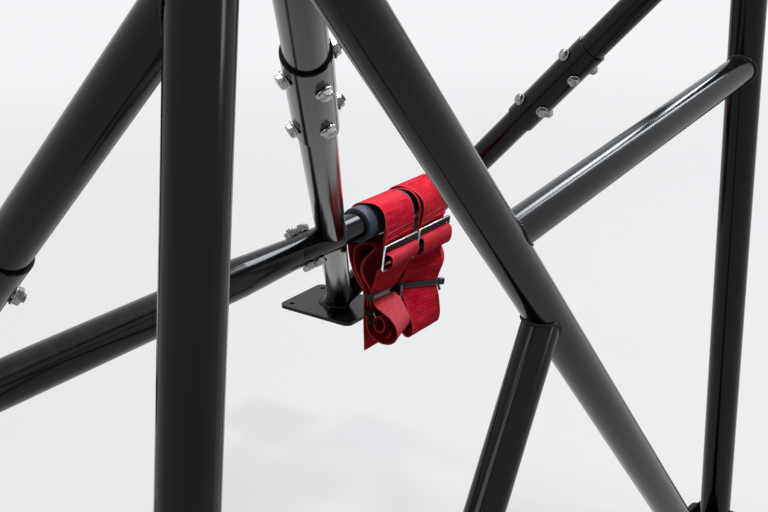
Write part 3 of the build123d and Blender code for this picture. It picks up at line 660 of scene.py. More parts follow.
BEADS = (
    ("diagonal_top", JUNCTION, DIAGONAL_TOP, DIAGONAL_R, "main_hoop"),
    ("diagonal_foot", JUNCTION, JUNCTION - FALL * JUNCTION.z, DIAGONAL_R, "main_hoop", "hoop_foot_left"),
    ("leg_left", on_leg(0.4), on_leg(0), DIAGONAL_R, "hoop_foot_left"),
    ("leg_right", on_leg(0.4, -1), on_leg(0, -1), DIAGONAL_R, "hoop_foot_right"),
    ("strut_top", STRUT_MIDDLE, JUNCTION, BRACE_R, "hoop_diagonal"),
    ("strut_foot", STRUT_MIDDLE, STRUT_FOOT, BRACE_R, "strut_foot"),
    ("cross_low", CROSS_MIDDLE, CROSS_LOW, CROSS_R, "hoop_diagonal"),
    ("cross_high", CROSS_MIDDLE, CROSS_HIGH, CROSS_R, "main_hoop"),
    ("stay_top_left", NEAR_STAY_TOP, STAY_TOP, BRACE_R, "main_hoop"),
    ("stay_top_right", FLIP @ NEAR_STAY_TOP, FLIP @ STAY_TOP, BRACE_R, "main_hoop"),
    ("stay_foot_left", NEAR_STAY_FOOT, STAY_FOOT, BRACE_R, "stay_foot_left"),
    ("stay_foot_right", FLIP @ NEAR_STAY_FOOT, FLIP @ STAY_FOOT, BRACE_R, "stay_foot_right"),
    ("rear_top", REAR_START.lerp(STAY_FOOT, 0.15), REAR_START, BRACE_R, "hoop_diagonal"),
    ("rear_low", REAR_START.lerp(STAY_FOOT, 0.8), STAY_FOOT, BRACE_R, "rear_stay_left", "stay_foot_left"),
    ("bar_right", FLIP @ BAR_MIDDLE, FLIP @ BAR_LEFT, BAR_R, "rear_stay_right"),
    ("bar_left", Vector((0.46, BAR_Y, BAR_Z)), BAR_LEFT, CROSS_R, "rear_stay_left"),
    ("bar_crossing", Vector((0.25, BAR_Y, BAR_Z)), FLIP @ BAR_LEFT, CROSS_R, "rear_diagonal"),
)
for joint, start, end, radius, *onto in BEADS:
    weld_bead("weld_" + joint, start, end, radius, onto)
print("beads planned:", len(BEADS))

# %% [markdown]
# Every bolt of the cage is drawn again here, because a real hexagon head has a turned chamfer
# that cuts its corners round, a washer has soft edges, and the thread stands a little proud of
# its nut. The CAD bolt gives the place: the two ends of each one's axis are found from its mesh,
# and the new bolt is lathed along that axis. A hexagon is lathed too, with a radius that changes
# with the angle.

# %% The outline of a bolt
TURNS = 48
THREAD_STEP = 0.0005
STAY_BOLT = {
    "shank": 0.008, "flats": 0.013, "head": 0.006, "washer": 0.017, "thick": 0.0016, "nut": 0.006,
    "tip": 0.0024,
}
LAP_BOLT = {**STAY_BOLT, "shank": 0.010, "flats": 0.017, "washer": 0.0186}


def hexagon_radius(across_flats, angle):
    """Distance from the middle of a hexagon to its side, at an angle."""
    sector = (angle + math.pi / 6) % (math.pi / 3) - math.pi / 6
    return across_flats / 2 / math.cos(sector)


def disc(low, high, wide):
    """The rings of a washer with soft edges."""
    inner, outer, soft = wide * 0.47, wide / 2, 0.0003
    return [(low, inner, None), (low + soft, outer, None), (high - soft, outer, None), (high, inner, None)]


def bolt_rings(length, shank, flats, head, washer, thick, nut, tip):
    """The rings of a bolt: (height, radius, width across flats or None for a round one)."""
    corner = flats / 2 / math.cos(math.pi / 6)
    full, seat = corner * 1.01, length - head
    top = seat + nut
    rings = [
        # the head, from its dished face down to its seat
        (0.0, flats * 0.30, None), (0.0003, flats * 0.44, flats), (0.0012, corner * 0.955, flats),
        (0.0022, full, flats), (head - 0.0004, full, flats), (head - 0.0002, flats * 0.47, None),
        # the shank between two washers
        *disc(head, head + thick, washer), (head + thick, shank / 2, None),
        (seat - thick, shank / 2, None), *disc(seat - thick, seat, washer),
        # the nut, with a chamfer at both ends
        (seat + 0.0002, flats * 0.47, None), (seat + 0.0008, corner * 0.98, flats),
        (seat + 0.0014, full, flats), (top - 0.0014, full, flats),
        (top - 0.0006, corner * 0.97, flats), (top, flats * 0.43, flats), (top, shank / 2, None),
    ]
    height, crest = top + 0.0003, True
    while height < top + tip:
        rings.append((height, shank * (0.5 if crest else 0.43), None))
        height, crest = height + THREAD_STEP, not crest
    return [*rings, (height, shank * 0.36, None)]


def lathe(rings, at, way):
    """Points and faces of rings along an axis."""
    side = way.orthogonal().normalized()
    up = way.cross(side)
    points = []
    for height, radius, flats in rings:
        for angle in around(TURNS):
            reach = min(radius, hexagon_radius(flats, angle)) if flats else radius
            points.append(at + way * height + (side * math.cos(angle) + up * math.sin(angle)) * reach)
    return points, solid_faces(len(rings), TURNS)


# %% [markdown]
# One CAD node holds several bolts, so its mesh is first split into the solids that it is made
# of. The long way of each solid's points is its axis: it comes from multiplying a first guess by
# the points' spread again and again, until it settles.

# %% Draw the bolts again with chamfers and threads
AXIS_ROUNDS = 40


def loose_solids(mesh):
    """The separate solids of a mesh, each as a list of its points."""
    owner = list(range(len(mesh.vertices)))

    def root(i):
        while owner[i] != i:
            owner[i] = owner[owner[i]]
            i = owner[i]
        return i

    spots = {}
    for vertex in mesh.vertices:
        key = tuple(round(c, 6) for c in vertex.co)
        if key in spots:
            owner[root(vertex.index)] = root(spots[key])
        spots[key] = vertex.index
    for a, b in (e.vertices for e in mesh.edges):
        owner[root(a)] = root(b)
    groups = {}
    for vertex in mesh.vertices:
        groups.setdefault(root(vertex.index), []).append(vertex.co)
    return list(groups.values())


def redraw_bolts(node_name, size):
    """Replace a node of CAD bolts by detailed ones on the same axes, heads towards the camera."""
    points, faces = [], []
    for solid in loose_solids(frame["nodes"][node_name].data):
        middle = sum(solid, Vector()) / len(solid)
        far = max(solid, key=lambda p: (p - middle).length)
        way = (far - middle).normalized()
        for _ in range(AXIS_ROUNDS):
            way = sum(((p - middle) * (p - middle).dot(way) for p in solid), Vector()).normalized()
        if way.dot(looking) < 0:
            way = -way
        heights = [(p - middle).dot(way) for p in solid]
        low, high = min(heights), max(heights)
        more, sides = lathe(bolt_rings(high - low, **size), middle + way * low, way)
        faces.extend(tuple(i + len(points) for i in face) for face in sides)
        points.extend(more)
    made = piece(node_name + "_turned", points, faces, "bolt_zinc", sharp_degrees=28)
    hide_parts(node_name)


for node_name in ("stay_bolts_left", "stay_bolts_right", "rear_diagonal_bolts"):
    redraw_bolts(node_name, STAY_BOLT)
redraw_bolts("lap_bolts", LAP_BOLT)
print("bolts redrawn")

# %% [markdown]
# A belt is one long strap, seven and a half centimetres wide, and its whole look comes from the
# route that it takes. The route is a side view: a list of points in the plane across the harness
# bar, in millimetres from the bar's axis, from one end of the strap to the other. A smooth curve
# goes through them, and the strap is that curve pushed out sideways, with a real thickness and a
# rounded, slightly thicker edge. A point of the route may carry five more numbers: how many
# degrees the strap is turned about Z and tipped along X there, how far it is shifted along the
# bar, how far both sides of a ridge near its left edge bend to the rear, and how pale its outside
# is marked as worn, which is partly rub wear and partly painted highlight where light falls.

# %% Helpers for straps
STRAP_STEP = 0.0015
CURVE_STEPS, LEAST_SPAN = 20, 0.01
RIDGE_AT, RIDGE_FALL, RIDGE_LEFT, RIDGE_CURVE = -0.86, 0.26, 0.3, 1.5
WAVE_HEIGHT, WAVE_ACROSS, WAVE_ALONG, WAVE_SEED = 0.35, 45, 0.035, 9
NAP_HEIGHT, NAP_ACROSS, NAP_ALONG, NAP_SEED = 0.06, 320, 0.4, 5.0
PATCH_WAVE = 0.1
EDGE_COLUMNS = ((-1.0, 0.0), (-0.992, 0.9), (-0.972, 1.22), (-0.945, 1.12), (-0.90, 1.0))
MIDDLE_COLUMNS = tuple((k / 10, 1.0) for k in range(-8, 9))


def smooth_curve(route, step):
    """Even points on a smooth curve through a route, with all that they carry, and its length."""
    knots = [Vector(knot) for knot in route]
    knots = [knots[0] * 2 - knots[1], *knots, knots[-1] * 2 - knots[-2]]
    dense = []
    for a, b, c, d in zip(knots, knots[1:], knots[2:], knots[3:]):
        near, mid, far = (max((q - p).length, LEAST_SPAN) ** 0.5 for p, q in ((a, b), (b, c), (c, d)))
        leave = (b - a) / near - (c - a) / (near + mid) + (c - b) / mid
        arrive = (c - b) / mid - (d - b) / (mid + far) + (d - c) / far
        for k in range(CURVE_STEPS):
            t = k / CURVE_STEPS
            dense.append(
                b * (2 * t ** 3 - 3 * t ** 2 + 1) + c * (3 * t ** 2 - 2 * t ** 3)
                + leave * mid * (t ** 3 - 2 * t ** 2 + t) + arrive * mid * (t ** 3 - t ** 2))
    dense.append(knots[-2])
    even, walked, due = [dense[0]], 0.0, step
    for here, there in zip(dense, dense[1:]):
        length = (there.xy - here.xy).length
        while length > 0 and walked + length >= due:
            even.append(here.lerp(there, (due - walked) / length))
            due += step
        walked += length
    return even, walked


def strap_ring():
    """Places round a strap's section: across from -1 to 1, and up or down in half thicknesses."""
    upper = EDGE_COLUMNS + MIDDLE_COLUMNS + tuple((-u, h) for u, h in reversed(EDGE_COLUMNS))
    return upper + tuple((u, -h) for u, h in reversed(upper[1:-1]))


def strap(name, route, middle_x, width=STRAP_WIDTH, thick=STRAP_THICK, wave_height=WAVE_HEIGHT):
    """A strap along a route of (y, z, turned, tipped, shifted, flared, worn), where worn marks a paleness
    that is partly rub wear and partly painted highlight.
    """
    curve, length = smooth_curve([tuple(knot) + (0.0,) * (7 - len(knot)) for knot in route], STRAP_STEP / MM)
    ring = strap_ring()
    points, marks, wear_and_highlight_marks = [], [], []
    for row, (y, z, turned, tipped, shifted, flared, worn) in enumerate(curve):
        before, after = curve[max(row - 1, 0)], curve[min(row + 1, len(curve) - 1)]
        along = (after.xy - before.xy).normalized()
        normal = Vector((0, -along.y, along.x))
        sideways = Vector((1, math.tan(math.radians(turned)), math.tan(math.radians(tipped)))).normalized()
        centre = by_bar(middle_x + shifted * MM, y, z)
        for u, h in ring:
            spot = centre + sideways * u * width / 2
            wave = noise.noise(Vector((spot.x * WAVE_ACROSS, row * WAVE_ALONG, middle_x * WAVE_SEED)))
            nap = noise.noise(Vector((spot.x * NAP_ACROSS, row * NAP_ALONG, NAP_SEED)))
            uneven = (wave * wave_height + nap * NAP_HEIGHT) * MM
            left_part = RIDGE_LEFT * max(0.0, (RIDGE_AT - u) / (1 + RIDGE_AT)) ** RIDGE_CURVE
            right_part = min(1.0, max(0.0, (u - RIDGE_AT) / RIDGE_FALL))
            flare = Vector((0, flared * MM * (left_part + right_part), 0))
            points.append(spot + flare + normal * (h * thick / 2 + uneven))
            marks.append(((u + 1) / 2 * width, row * STRAP_STEP))
            # The worn marks are partly rub wear and partly painted highlight.
            wear_and_highlight_marks.append(min(1.0, max(0.0, worn)) if h < 0 else 0.0)
    made = piece(name, points, solid_faces(len(curve), len(ring)), "webbing", sharp_degrees=50)
    made.data.attributes.new("worn", "FLOAT", "POINT").data.foreach_set("value", wear_and_highlight_marks)
    layer = made.data.uv_layers.new(name="strap")
    for loop in made.data.loops:
        layer.data[loop.index].uv = marks[loop.vertex_index]
    print(f"{name} is {length * MM:.3f} m long")
    return made


# %% [markdown]
# The nearer belt. Its tail hangs behind the bundle, climbs the back, goes over the grip and down
# the front, through the upper slot of its adjuster, and rolls out over the adjuster's middle bar.
# From there it comes down the front to the cable tie, opens into a wide coil below it, returns up
# through the tie into a tall fold, and goes down once more to end in a small inner spiral. A
# narrow turned hem stands off the coil's inner side.

# %% The nearer belt
NEAR_LEFT, NEAR_RIGHT = (corner.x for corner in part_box("belt_bundle_1"))
NEAR_X = (NEAR_LEFT + NEAR_RIGHT) / 2
NEAR_TIE = (-117, 9.0, -9.0)
NEAR_ROUTE = [
    (0.8, -197), (1.5, -186, 1), (2.8, -165, 2, -0.5), (4.2, -140, 4, -2), (5.2, -127, 6.5, -5),
    (6.2, *NEAR_TIE), (8.5, -103, 5, -4), (14, -90, 2, -1), (20.8, -75), (25.6, -59), (28.0, -42),
    (28.0, -24), (27.8, -8), (25.8, 6, 0.4, -1), (18.6, 19.2, -0.2, -0.6), (8.8, 25.6, -0.4, 0),
    (-1.3, 27.5, -0.6, -0.4, 0, 0, 0.12), (-11.3, 27.6, -1.1, -2.2, 0, 0, 0.18),
    (-20.4, 26, 0, -3.6, 0, 0, 0.15), (-27, 22.5, 1.5, -3.8), (-31.8, 16.3, 2.7, -3.4),
    (-34.4, 7.8, 3, -1.9), (-35.1, -0.8, 3, -1.1), (-34.2, -8.5, 2.7, -0.8), (-32.7, -16.5, 2.6, -0.8),
    (-31.0, -25.8, 3, -0.8), (-31.2, -34, 3), (-33.2, -39.6, 3), (-37.5, -41.2, 4, 0, 0, 0, 0.25),
    (-41.8, -41.6, 5, 0, 0, 0, 0.35), (-45, -44.4, 5, 0, 0, 0, 0.35), (-46, -50, 5, 0, 0, 0, 0.15),
    (-44.8, -56.6, 4.5), (-41.2, -61.6, 3), (-35.6, -63.2, 1), (-29.0, -63.2, -1), (-24.6, -67.5, -2),
    (-22.0, -77, -2.5), (-18.2, -88.5, -1.5, -1), (-13.2, -97.5, 1.5, -3), (-9.0, -107, 5, -6),
    (-6.6, *NEAR_TIE), (-11.8, -127, 12, -4, 0, 0, 0.5), (-20.7, -132.5, 15.4, -3, 0, 0, 0.8),
    (-29.5, -139.5, 19.8, -3.8, 0, 0, 0.9), (-37, -148.5, 21.8, -3.8, 0, 0, 0.9),
    (-41.8, -159, 20.8, -3, 0, 0, 0.45), (-40.8, -168.8, 18.8, -1), (-34.5, -175.8, 15.6),
    (-26, -178.3, 12), (-16.3, -176.8, 8.7), (-7.8, -171.5, 5), (-2.9, -162.5, 3),
    (-1.4, -151, 3, -1.5), (0.2, -137, 5.5, -5), (1.6, *NEAR_TIE), (4, -104, 5, -5), (9, -89, 1, -1),
    (16.2, -73.6), (18.9, -57), (16.5, -43.5), (9, -35.5), (-1, -31.6), (-10, -30.4, 0, 0, 0, 1),
    (-17, -32.0, 0, 0, 0, 3, 0.4), (-18.4, -37, 0, 0, 0, 5, 0.6), (-13.6, -43, 0, 0, 0, 6, 0.7),
    (-6.8, -50, 0, 0, 0, 7, 0.7), (-0.8, -57.5, 0, 0, 0, 8, 0.7), (3.2, -66.5, 0, 0, 0, 8, 0.7),
    (3.9, -76, 0, 0, 0, 7, 0.7), (1.2, -85, 0, 0, 0, 5, 0.6), (-3.4, -93.5, 2, -2, 0, 3, 0.3),
    (-6.8, -102, 4, -4, 0, 2), (-6.2, -109, 7, -7, 0, 1), (-4.0, *NEAR_TIE), (-6.3, -124.5, 5, -7),
    (-8.3, -134.5, 5, -5.3), (-10.3, -144.5, 5.7, -3.8), (-12.5, -154, 6.1, -1.5), (-16.5, -161.3, 6.8),
    (-22.5, -162, 8.3), (-26.5, -156.5, 9.8, -1), (-26.8, -148.5, 10.2, -2.3), (-23.3, -142, 9.5, -3),
    (-18.3, -140, 8, -3), (-15, -144.3, 6.8, -2.7), (-15.9, -150, 7.4, -1.5),
]
NEAR_OVERLAP = [
    (-32.6, -26.5, 3, -0.8), (-34.6, -16.5, 2.6, -0.8), (-36.1, -8.5, 2.7, -0.8),
    (-36.9, -1.5, 3, -1.1),
]
NEAR_HEM = [(-41.0, -160.5), (-38.8, -165, 4, 8), (-35.0, -168.3, 8, 14), (-30.5, -169.6, 10, 16)]
NEAR_OVERLAP_X, HEM_X = NEAR_X + 0.0004, NEAR_LEFT + 0.012
HEM_WIDTH, HEM_THICK = 0.012, 0.0012
near_belt = strap("near_belt", NEAR_ROUTE, NEAR_X)
strap("near_belt_overlap", NEAR_OVERLAP, NEAR_OVERLAP_X, wave_height=PATCH_WAVE)
strap("near_belt_hem", NEAR_HEM, HEM_X, HEM_WIDTH, HEM_THICK, PATCH_WAVE)
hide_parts("belt_loop_1", "belt_bundle_1")

# %% [markdown]
# The farther belt follows the same plan, but its bundle twists: where its tie squeezes it, the
# right edge is pulled forward and down. Its loop is doubled over the grip, so a second layer lies
# on the first and shows as a second edge. The fold behind its front face leans out to the right.

# %% The farther belt
FAR_LEFT, FAR_RIGHT = (corner.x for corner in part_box("belt_bundle_2"))
FAR_X = (FAR_LEFT + FAR_RIGHT) / 2
FAR_TIE = (-131, -13, -11)
FAR_ROUTE = [
    (3.0, -199), (3.5, -185), (3.4, -168), (2.4, -150, -8, -6), (1.2, *FAR_TIE), (4.0, -118, -10, -7),
    (10, -104, -5, -3), (17, -90, -2, 0), (23, -75), (27, -58), (28.2, -42), (28.2, -24), (27.6, -9),
    (25, 5), (17, 17.5, 0, 0), (6, 24.5), (-5, 26.4), (-16, 24.6, 1, -1), (-24.2, 19.6, 2, -1.5),
    (-29.2, 12, 3, -1), (-31.4, 2, 4), (-31.3, -7, 3.5), (-30.4, -16, 3), (-29.4, -25, 2.5),
    (-29.6, -34, 2), (-31.6, -39.6, 1), (-35.5, -41.2, 0, 0, 0, 0, 0.2), (-39, -41.8, 0, 0, 0, 0, 0.3),
    (-41.8, -44.8, 0, 0, 0, 0, 0.3), (-42.8, -51, 0, 0, 0, 0, 0.15), (-42.2, -58.5), (-39.2, -66),
    (-33.5, -70.6, -1, 0), (-26.5, -72.6, -4, 0), (-20.4, -76.4, -8, 0), (-17.2, -83.5, -11, 0),
    (-18.6, -93, -13, -1), (-19.5, -100, -14, -2), (-17.0, -110, -14, -4), (-12.6, -121, -13.5, -8),
    (-9.6, *FAR_TIE), (-11.5, -142, -12, -9), (-16, -156, -9, -5), (-20.5, -170, -4, -2),
    (-23.6, -183, -1, 0), (-23.6, -193), (-20.5, -201), (-13.5, -205), (-7, -202.5), (-3.8, -194),
    (-2.6, -180, -1, 0), (-2.6, -163, -6, -3), (-2.4, -147, -10, -8), (-1.8, *FAR_TIE),
    (0.5, -119, -11, -8, 1), (4.5, -105, -8, -4, 6), (5.5, -92, -6, -2, 8), (2, -80, -5, 0, 8),
    (-4, -73, -4, 0, 8), (-9, -72.5, -5, 0, 8.5), (-12, -77, -7, 0, 9.5, 0, 0.3),
    (-14.0, -86, -10, 0, 11, 0, 0.6), (-15.6, -97, -12.5, -1, 11.5, 0, 0.6),
    (-14.4, -108, -13.5, -3, 9.5, 0, 0.4), (-9.6, -121, -13, -8, 4), (-6.4, *FAR_TIE),
    (-7.6, -143, -12, -9), (-11, -157, -8, -5), (-15, -171, -4, -2), (-17, -184),
]
FAR_OVERLAP = [
    (-31.2, -26.5, 3), (-33.0, -18, 5), (-34.6, -8, 7), (-35.2, 2, 8, 0.5), (-33.4, 12.5, 8, 1),
    (-28, 20.8, 6.5, 1.5), (-19.5, 26.4, 3.5, 1.5), (-9, 28.7, 1, 0.8), (2, 28.9), (12, 26), (21, 19.5),
    (27.2, 9), (29.6, -3), (29.9, -9),
]
FAR_OVERLAP_X = FAR_X + 0.0022
far_belt = strap("far_belt", FAR_ROUTE, FAR_X)
strap("far_belt_overlap", FAR_OVERLAP, FAR_OVERLAP_X, wave_height=PATCH_WAVE)
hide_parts("belt_loop_2", "belt_bundle_2")

# %% [markdown]
# Both loops are sewn shut just above the adjusters. The seams are rows of short stitches that
# stand a little proud of the webbing, in a paler thread.

# %% Stitches across the loops
STITCH_PITCH, STITCH_LENGTH, STITCH_RADIUS = 0.0031, 0.0023, 0.00042
STITCH_ROWS, STITCH_COLUMNS = 7, 8
SEAM_WIDTH = STRAP_WIDTH - 0.006


def stitch_row(name, middle_x, y, z, turned):
    """A row of short stitches across a loop's front, on a face that is turned."""
    slant = math.tan(math.radians(turned))
    points, faces = [], []
    count = int(SEAM_WIDTH / STITCH_PITCH)
    for k in range(count):
        faces.extend(ring_faces(STITCH_ROWS, STITCH_COLUMNS, len(points)))
        for row in range(STITCH_ROWS):
            run = row / (STITCH_ROWS - 1) * 2 - 1
            plump = STITCH_RADIUS * max(0.08, 1 - run ** 4) ** 0.5
            across = (k - (count - 1) / 2) * STITCH_PITCH + run * STITCH_LENGTH / 2
            middle = by_bar(middle_x + across, y, z) + Vector((0, across * slant, 0))
            points.extend(circle(middle, TO_REAR, UP, plump, STITCH_COLUMNS))
    piece(name, points, faces, "webbing", sharp_degrees=80, finish=pale_thread)


stitch_row("near_stitches_low", NEAR_X, -34.3, -22.5, 2.8)
stitch_row("near_stitches_high", NEAR_X, -36.4, -12.0, 2.7)
stitch_row("far_stitches_low", FAR_OVERLAP_X, -33.0, -22.5, 4.0)
stitch_row("far_stitches_high", FAR_OVERLAP_X, -34.8, -13.0, 5.8)
print("stitch rows made")

# %% [markdown]
# A cable tie is a thin band with a raised rim along both edges. It is swept round the waist of
# its bundle and closed by a head, a small rounded block, and its cut tail sticks out below. The
# farther tie follows the twist of its bundle.

# %% Cable ties
TIE_HIGH, TIE_THICK = 0.0080, 0.0015
TIE_HALF, TIE_CORNER = STRAP_WIDTH / 2 + 0.0016, 0.0045
TIE_PROFILE = (
    (0, -0.5), (0.75, -0.5), (1, -0.42), (1, -0.30), (0.72, -0.24),
    (0.72, 0.24), (1, 0.30), (1, 0.42), (0.75, 0.5), (0, 0.5),
)
CORNER_STEPS, FRONT_STEPS = 8, 24
TIE_SAG, SAG_SCALE = 0.0004, 30


def waist(front, back):
    """A flat path round a bundle: four round corners, and even steps along the front."""
    spots = rounded_outline(TIE_HALF * 2, back - front, TIE_CORNER, (front + back) / 2, CORNER_STEPS)
    half, corner = len(spots) // 2, CORNER_STEPS + 1
    start, span = TIE_CORNER - TIE_HALF, 2 * (TIE_HALF - TIE_CORNER)
    straight = [(start + span * k / FRONT_STEPS, front) for k in range(1, FRONT_STEPS)]
    path = [*spots[half:half + corner], *straight, *spots[half + corner:], *spots[:half]]
    return [Vector((x, y, 0)) for x, y in path]


def tie_loop(name, node_name, middle_x, front, back, z, turned, tipped):
    """The band of a cable tie round a bundle's waist."""
    path = waist(front * MM, back * MM)
    shear_y, shear_z = math.tan(math.radians(turned)), math.tan(math.radians(tipped))
    points = []
    for k, spot in enumerate(path):
        along = (path[(k + 1) % len(path)] - path[k - 1]).normalized()
        out = Vector((along.y, -along.x, 0))
        sag = noise.noise(Vector((spot.x * SAG_SCALE, spot.y * SAG_SCALE, z))) * TIE_SAG
        for depth, height in TIE_PROFILE:
            p = spot + out * depth * TIE_THICK
            lifted = Vector((0, p.y + p.x * shear_y, p.x * shear_z + height * TIE_HIGH + sag))
            points.append(by_bar(middle_x + p.x, 0, z) + lifted)
    faces = ring_faces(len(path), len(TIE_PROFILE), closed=True)
    made = piece(name, points, faces, "tie_plastic", sharp_degrees=35)
    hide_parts(node_name)


def soft_block(name, size, at, turned, tipped, slot_name, rounding):
    """A box with rounded edges, turned about Z and tipped along X."""
    corners = [(x, y, z) for x in (-0.5, 0.5) for y in (-0.5, 0.5) for z in (-0.5, 0.5)]
    turn = Matrix.Rotation(math.radians(turned), 3, "Z") @ Matrix.Rotation(math.radians(-tipped), 3, "Y")
    points = [at + turn @ Vector([c * s for c, s in zip(corner, size)]) for corner in corners]
    faces = [(0, 1, 3, 2), (4, 6, 7, 5), (0, 4, 5, 1), (2, 3, 7, 6), (0, 2, 6, 4), (1, 5, 7, 3)]
    made = piece(name, points, faces, slot_name, sharp_degrees=30)
    bevel = made.modifiers.new("rounding", "BEVEL")
    bevel.width, bevel.segments, bevel.limit_method = rounding, 3, "NONE"
    return made


tie_loop("near_tie_band", "cable_tie_1", NEAR_X, -8.4, 7.9, *NEAR_TIE)
tie_loop("far_tie_band", "cable_tie_2", FAR_X, -11.8, 3.4, *FAR_TIE)
NEAR_SIDE, FAR_SIDE = NEAR_X + STRAP_WIDTH / 2, FAR_X + STRAP_WIDTH / 2
TAIL_SIZE = (0.0042, 0.0016, 0.0110)
for name, size, at, turned, tipped, rounding in (
    ("near_tie_head", (0.0080, 0.0105, 0.0125), by_bar(NEAR_SIDE + 0.0005, -7.5, -122.5), 9, -9, 0.0012),
    ("far_tie_head", (0.0125, 0.0085, 0.0100), by_bar(FAR_SIDE + 0.0085, -18.5, -140.0), -13, -11, 0.0012),
    ("near_tie_tail", TAIL_SIZE, by_bar(NEAR_SIDE + 0.0005, -11.0, -133.0), 9, 8, 0.0005),
    ("far_tie_tail", TAIL_SIZE, by_bar(FAR_SIDE + 0.0030, -20.0, -148.0), -13, 20, 0.0005),
):
    soft_block(name, size, at, turned, tipped, "tie_plastic", rounding)
print("ties closed")

# %% [markdown]
# An adjuster is a steel plate with two slots and a bar between them. It can be drawn flat: one
# outline and two holes, as closed lines of a 2D curve. The curve fills the plate, leaves the
# holes open, gives it thickness and rounds its edges all at once. Turned into a mesh, the plate
# keeps a mark on the rounded faces, and the finish reads that mark to wear them bright. The
# slots' edges are marked less, because only the strap touches them.

# %% Adjusters with worn rims
PLATE_WIDE, PLATE_HIGH, PLATE_THICK, PLATE_CORNER = 0.0832, 0.0395, 0.0028, 0.0040
SLOT_WIDE, SLOT_HIGH, SLOT_CORNER = 0.0760, 0.0066, 0.0016
SLOT_APART, SLOT_DROP = 0.0164, 0.0014
PLATE_LEAN, PLATE_STEPS = 8, 6
RIM = 0.0008
FLAT_ON, EDGE_ON = 0.98, 0.05
EDGE_WEAR, SLOT_WEAR = 0.9, 0.12


def flat_plate(name):
    """The mesh of an adjuster that lies flat, drawn as a filled 2D curve."""
    outline = bpy.data.curves.new(name, "CURVE")
    outline.dimensions, outline.fill_mode = "2D", "BOTH"
    outline.extrude, outline.bevel_depth, outline.bevel_resolution = PLATE_THICK / 2 - RIM, RIM, 2
    outline.offset = -RIM
    for spots in (
        rounded_outline(PLATE_WIDE, PLATE_HIGH, PLATE_CORNER, 0.0, PLATE_STEPS),
        rounded_outline(SLOT_WIDE, SLOT_HIGH, SLOT_CORNER, SLOT_APART / 2 - SLOT_DROP, PLATE_STEPS),
        rounded_outline(SLOT_WIDE, SLOT_HIGH, SLOT_CORNER, -SLOT_APART / 2 - SLOT_DROP, PLATE_STEPS),
    ):
        line = outline.splines.new("POLY")
        line.points.add(len(spots) - 1)
        for point, (x, rise) in zip(line.points, spots):
            point.co = (x, rise, 0, 1)
        line.use_cyclic_u = True
    drawn = bpy.data.objects.new(name + "_outline", outline)
    flat = bpy.data.meshes.new_from_object(drawn)
    bpy.data.objects.remove(drawn)
    return flat


def rim_wear(normal, spot, face_way):
    """How worn a face is: most on rounded edges, less on the plate's sides and in its slots."""
    square_on = abs(normal.dot(face_way))
    if square_on >= FLAT_ON:
        return 0.0
    worn = 1.0 if square_on > EDGE_ON else EDGE_WEAR
    in_slots = abs(spot.x) < SLOT_WIDE / 2 + RIM * 2 and abs(spot.y) < PLATE_HIGH / 2 - RIM * 3
    return worn * (SLOT_WEAR if in_slots else 1.0)


def adjuster(name, node_name, y, z):
    """A three-bar adjuster, leaning forward at its top."""
    flat = flat_plate(name)
    low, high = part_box(node_name)
    turn = Matrix.Rotation(math.radians(90 + PLATE_LEAN), 3, "X")
    middle = by_bar((low.x + high.x) / 2, y, z)
    points = [middle + turn @ v.co for v in flat.vertices]
    faces = [tuple(face.vertices) for face in flat.polygons]
    made = piece(name, points, faces, "adjuster_steel", sharp_degrees=12)
    rims = made.data.attributes.new("rim", "FLOAT", "FACE")
    face_way = turn @ UP
    for face, drawn_face in zip(made.data.polygons, flat.polygons):
        rims.data[face.index].value = rim_wear(face.normal, drawn_face.center, face_way)
    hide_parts(node_name)


adjuster("near_adjuster", "belt_adjuster_1", -35.8, -47.2)
adjuster("far_adjuster", "belt_adjuster_2", -34.2, -47.2)
print("adjusters made")

# %% [markdown]
# The tail of the nearer belt ends in a small black fitting that is tucked in beside the coil: a
# thick eye, a bent hook and a thin spring wire across its mouth. Hook and wire are round rods
# swept along short smooth routes, drawn in the same side view as the straps.

# %% The hook in the bundle
ROD_STEP, ROD_COLUMNS = 0.6, 12
ROD_LEAST = 0.00005


def rod(name, route, x, radius, slot_name):
    """A round rod along a route of (y, z) at one place along the bar, with rounded ends."""
    curve, _ = smooth_curve(route, ROD_STEP)
    points = []
    for row, spot in enumerate(curve):
        along = (curve[min(row + 1, len(curve) - 1)] - curve[max(row - 1, 0)]).normalized()
        out = Vector((0, -along.y, along.x))
        end = min(row, len(curve) - 1 - row) * ROD_STEP * MM
        girth = radius * (1 - max(0.0, 1 - end / radius) ** 2) ** 0.5 + ROD_LEAST
        points.extend(circle(by_bar(x, *spot), out, ALONG_BAR, girth, ROD_COLUMNS))
    piece(name, points, solid_faces(len(curve), ROD_COLUMNS), slot_name, sharp_degrees=60)


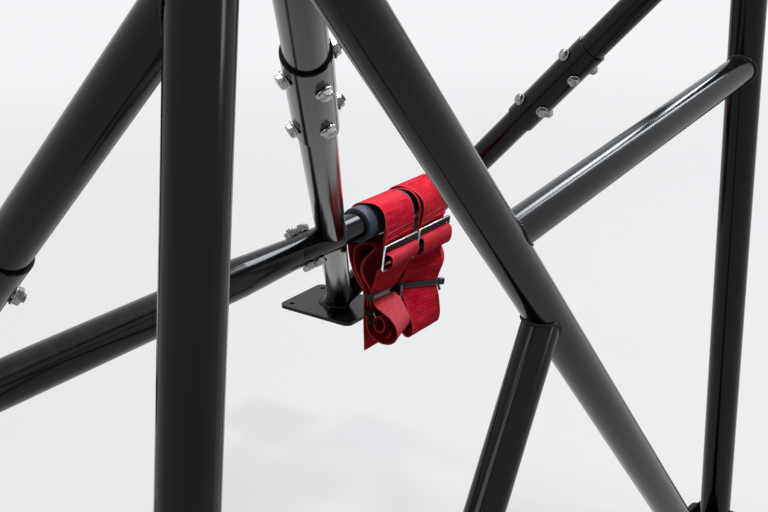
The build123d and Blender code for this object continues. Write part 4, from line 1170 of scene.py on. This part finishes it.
HOOK_X = NEAR_LEFT - 0.0035
HOOK_BEND = [(-9, -137), (-10, -143), (-14, -147.5), (-19.5, -147), (-22.5, -142)]
HOOK_SPRING = [(-18.6, -129.5), (-20.6, -134), (-23.4, -139)]
eye = soft_block(
    "hook_eye", (0.0062, 0.0150, 0.0130), by_bar(HOOK_X, -12.2, -133.0), 0, 0, "adjuster_steel", 0.0016)
rod("hook_bend", HOOK_BEND, HOOK_X, 0.0021, "adjuster_steel")
rod("hook_spring", HOOK_SPRING, HOOK_X - 0.0012, 0.0006, "bolt_zinc")
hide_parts("belt_hook")
print("hook made")

# %% [markdown]
# The grip is a thick rubber sleeve. Its ends are rounded, its outside is very slightly uneven,
# and it squeezes in a little under each belt.

# %% The rubber grip
GRIP_START, GRIP_END = 0.2455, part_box("bar_grip")[1].x
GRIP_BORE, GRIP_ROUNDING = 0.0192, 0.0022
GRIP_STEP, GRIP_TURNS, GRIP_SQUEEZE = 0.0025, 96, 0.0004
GRIP_UNEVEN, DENTS_ALONG, DENTS_ROUND = 0.006, 40, 1.5
SHOULDER_BACK, SHOULDER_IN = 0.0006, 0.0010
grip_rows = [(GRIP_START, GRIP_BORE)]
for degrees in (90, 72, 54, 36, 18, 0):
    angle = math.radians(degrees)
    inset, fall = GRIP_ROUNDING * (1 - math.sin(angle)), GRIP_ROUNDING * (1 - math.cos(angle))
    grip_rows.append((GRIP_START + inset, GRIP_RADIUS - fall))
reach = GRIP_START + GRIP_ROUNDING
while reach < GRIP_END - GRIP_ROUNDING:
    reach += GRIP_STEP
    squeeze = GRIP_SQUEEZE if reach > NEAR_LEFT else 0.0
    grip_rows.append((min(reach, GRIP_END - GRIP_ROUNDING), GRIP_RADIUS - squeeze))
grip_rows += [
    (GRIP_END - SHOULDER_BACK, GRIP_RADIUS - SHOULDER_IN),
    (GRIP_END, GRIP_RADIUS - GRIP_ROUNDING), (GRIP_END, GRIP_BORE),
]
grip_points = []
for x, radius in grip_rows:
    for angle in around(GRIP_TURNS):
        y, z = math.cos(angle), math.sin(angle)
        dent = noise.noise(Vector((x * DENTS_ALONG, y * DENTS_ROUND, z * DENTS_ROUND)))
        girth = radius * (1 + GRIP_UNEVEN * dent)
        grip_points.append(by_bar(x, 0, 0) + (TO_REAR * y + UP * z) * girth)
grip_faces = ring_faces(len(grip_rows), GRIP_TURNS)
sleeve = piece("moulded_grip", grip_points, grip_faces, "grip_rubber", sharp_degrees=60)
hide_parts("bar_grip")
print("grip from", GRIP_START, "to", GRIP_END)
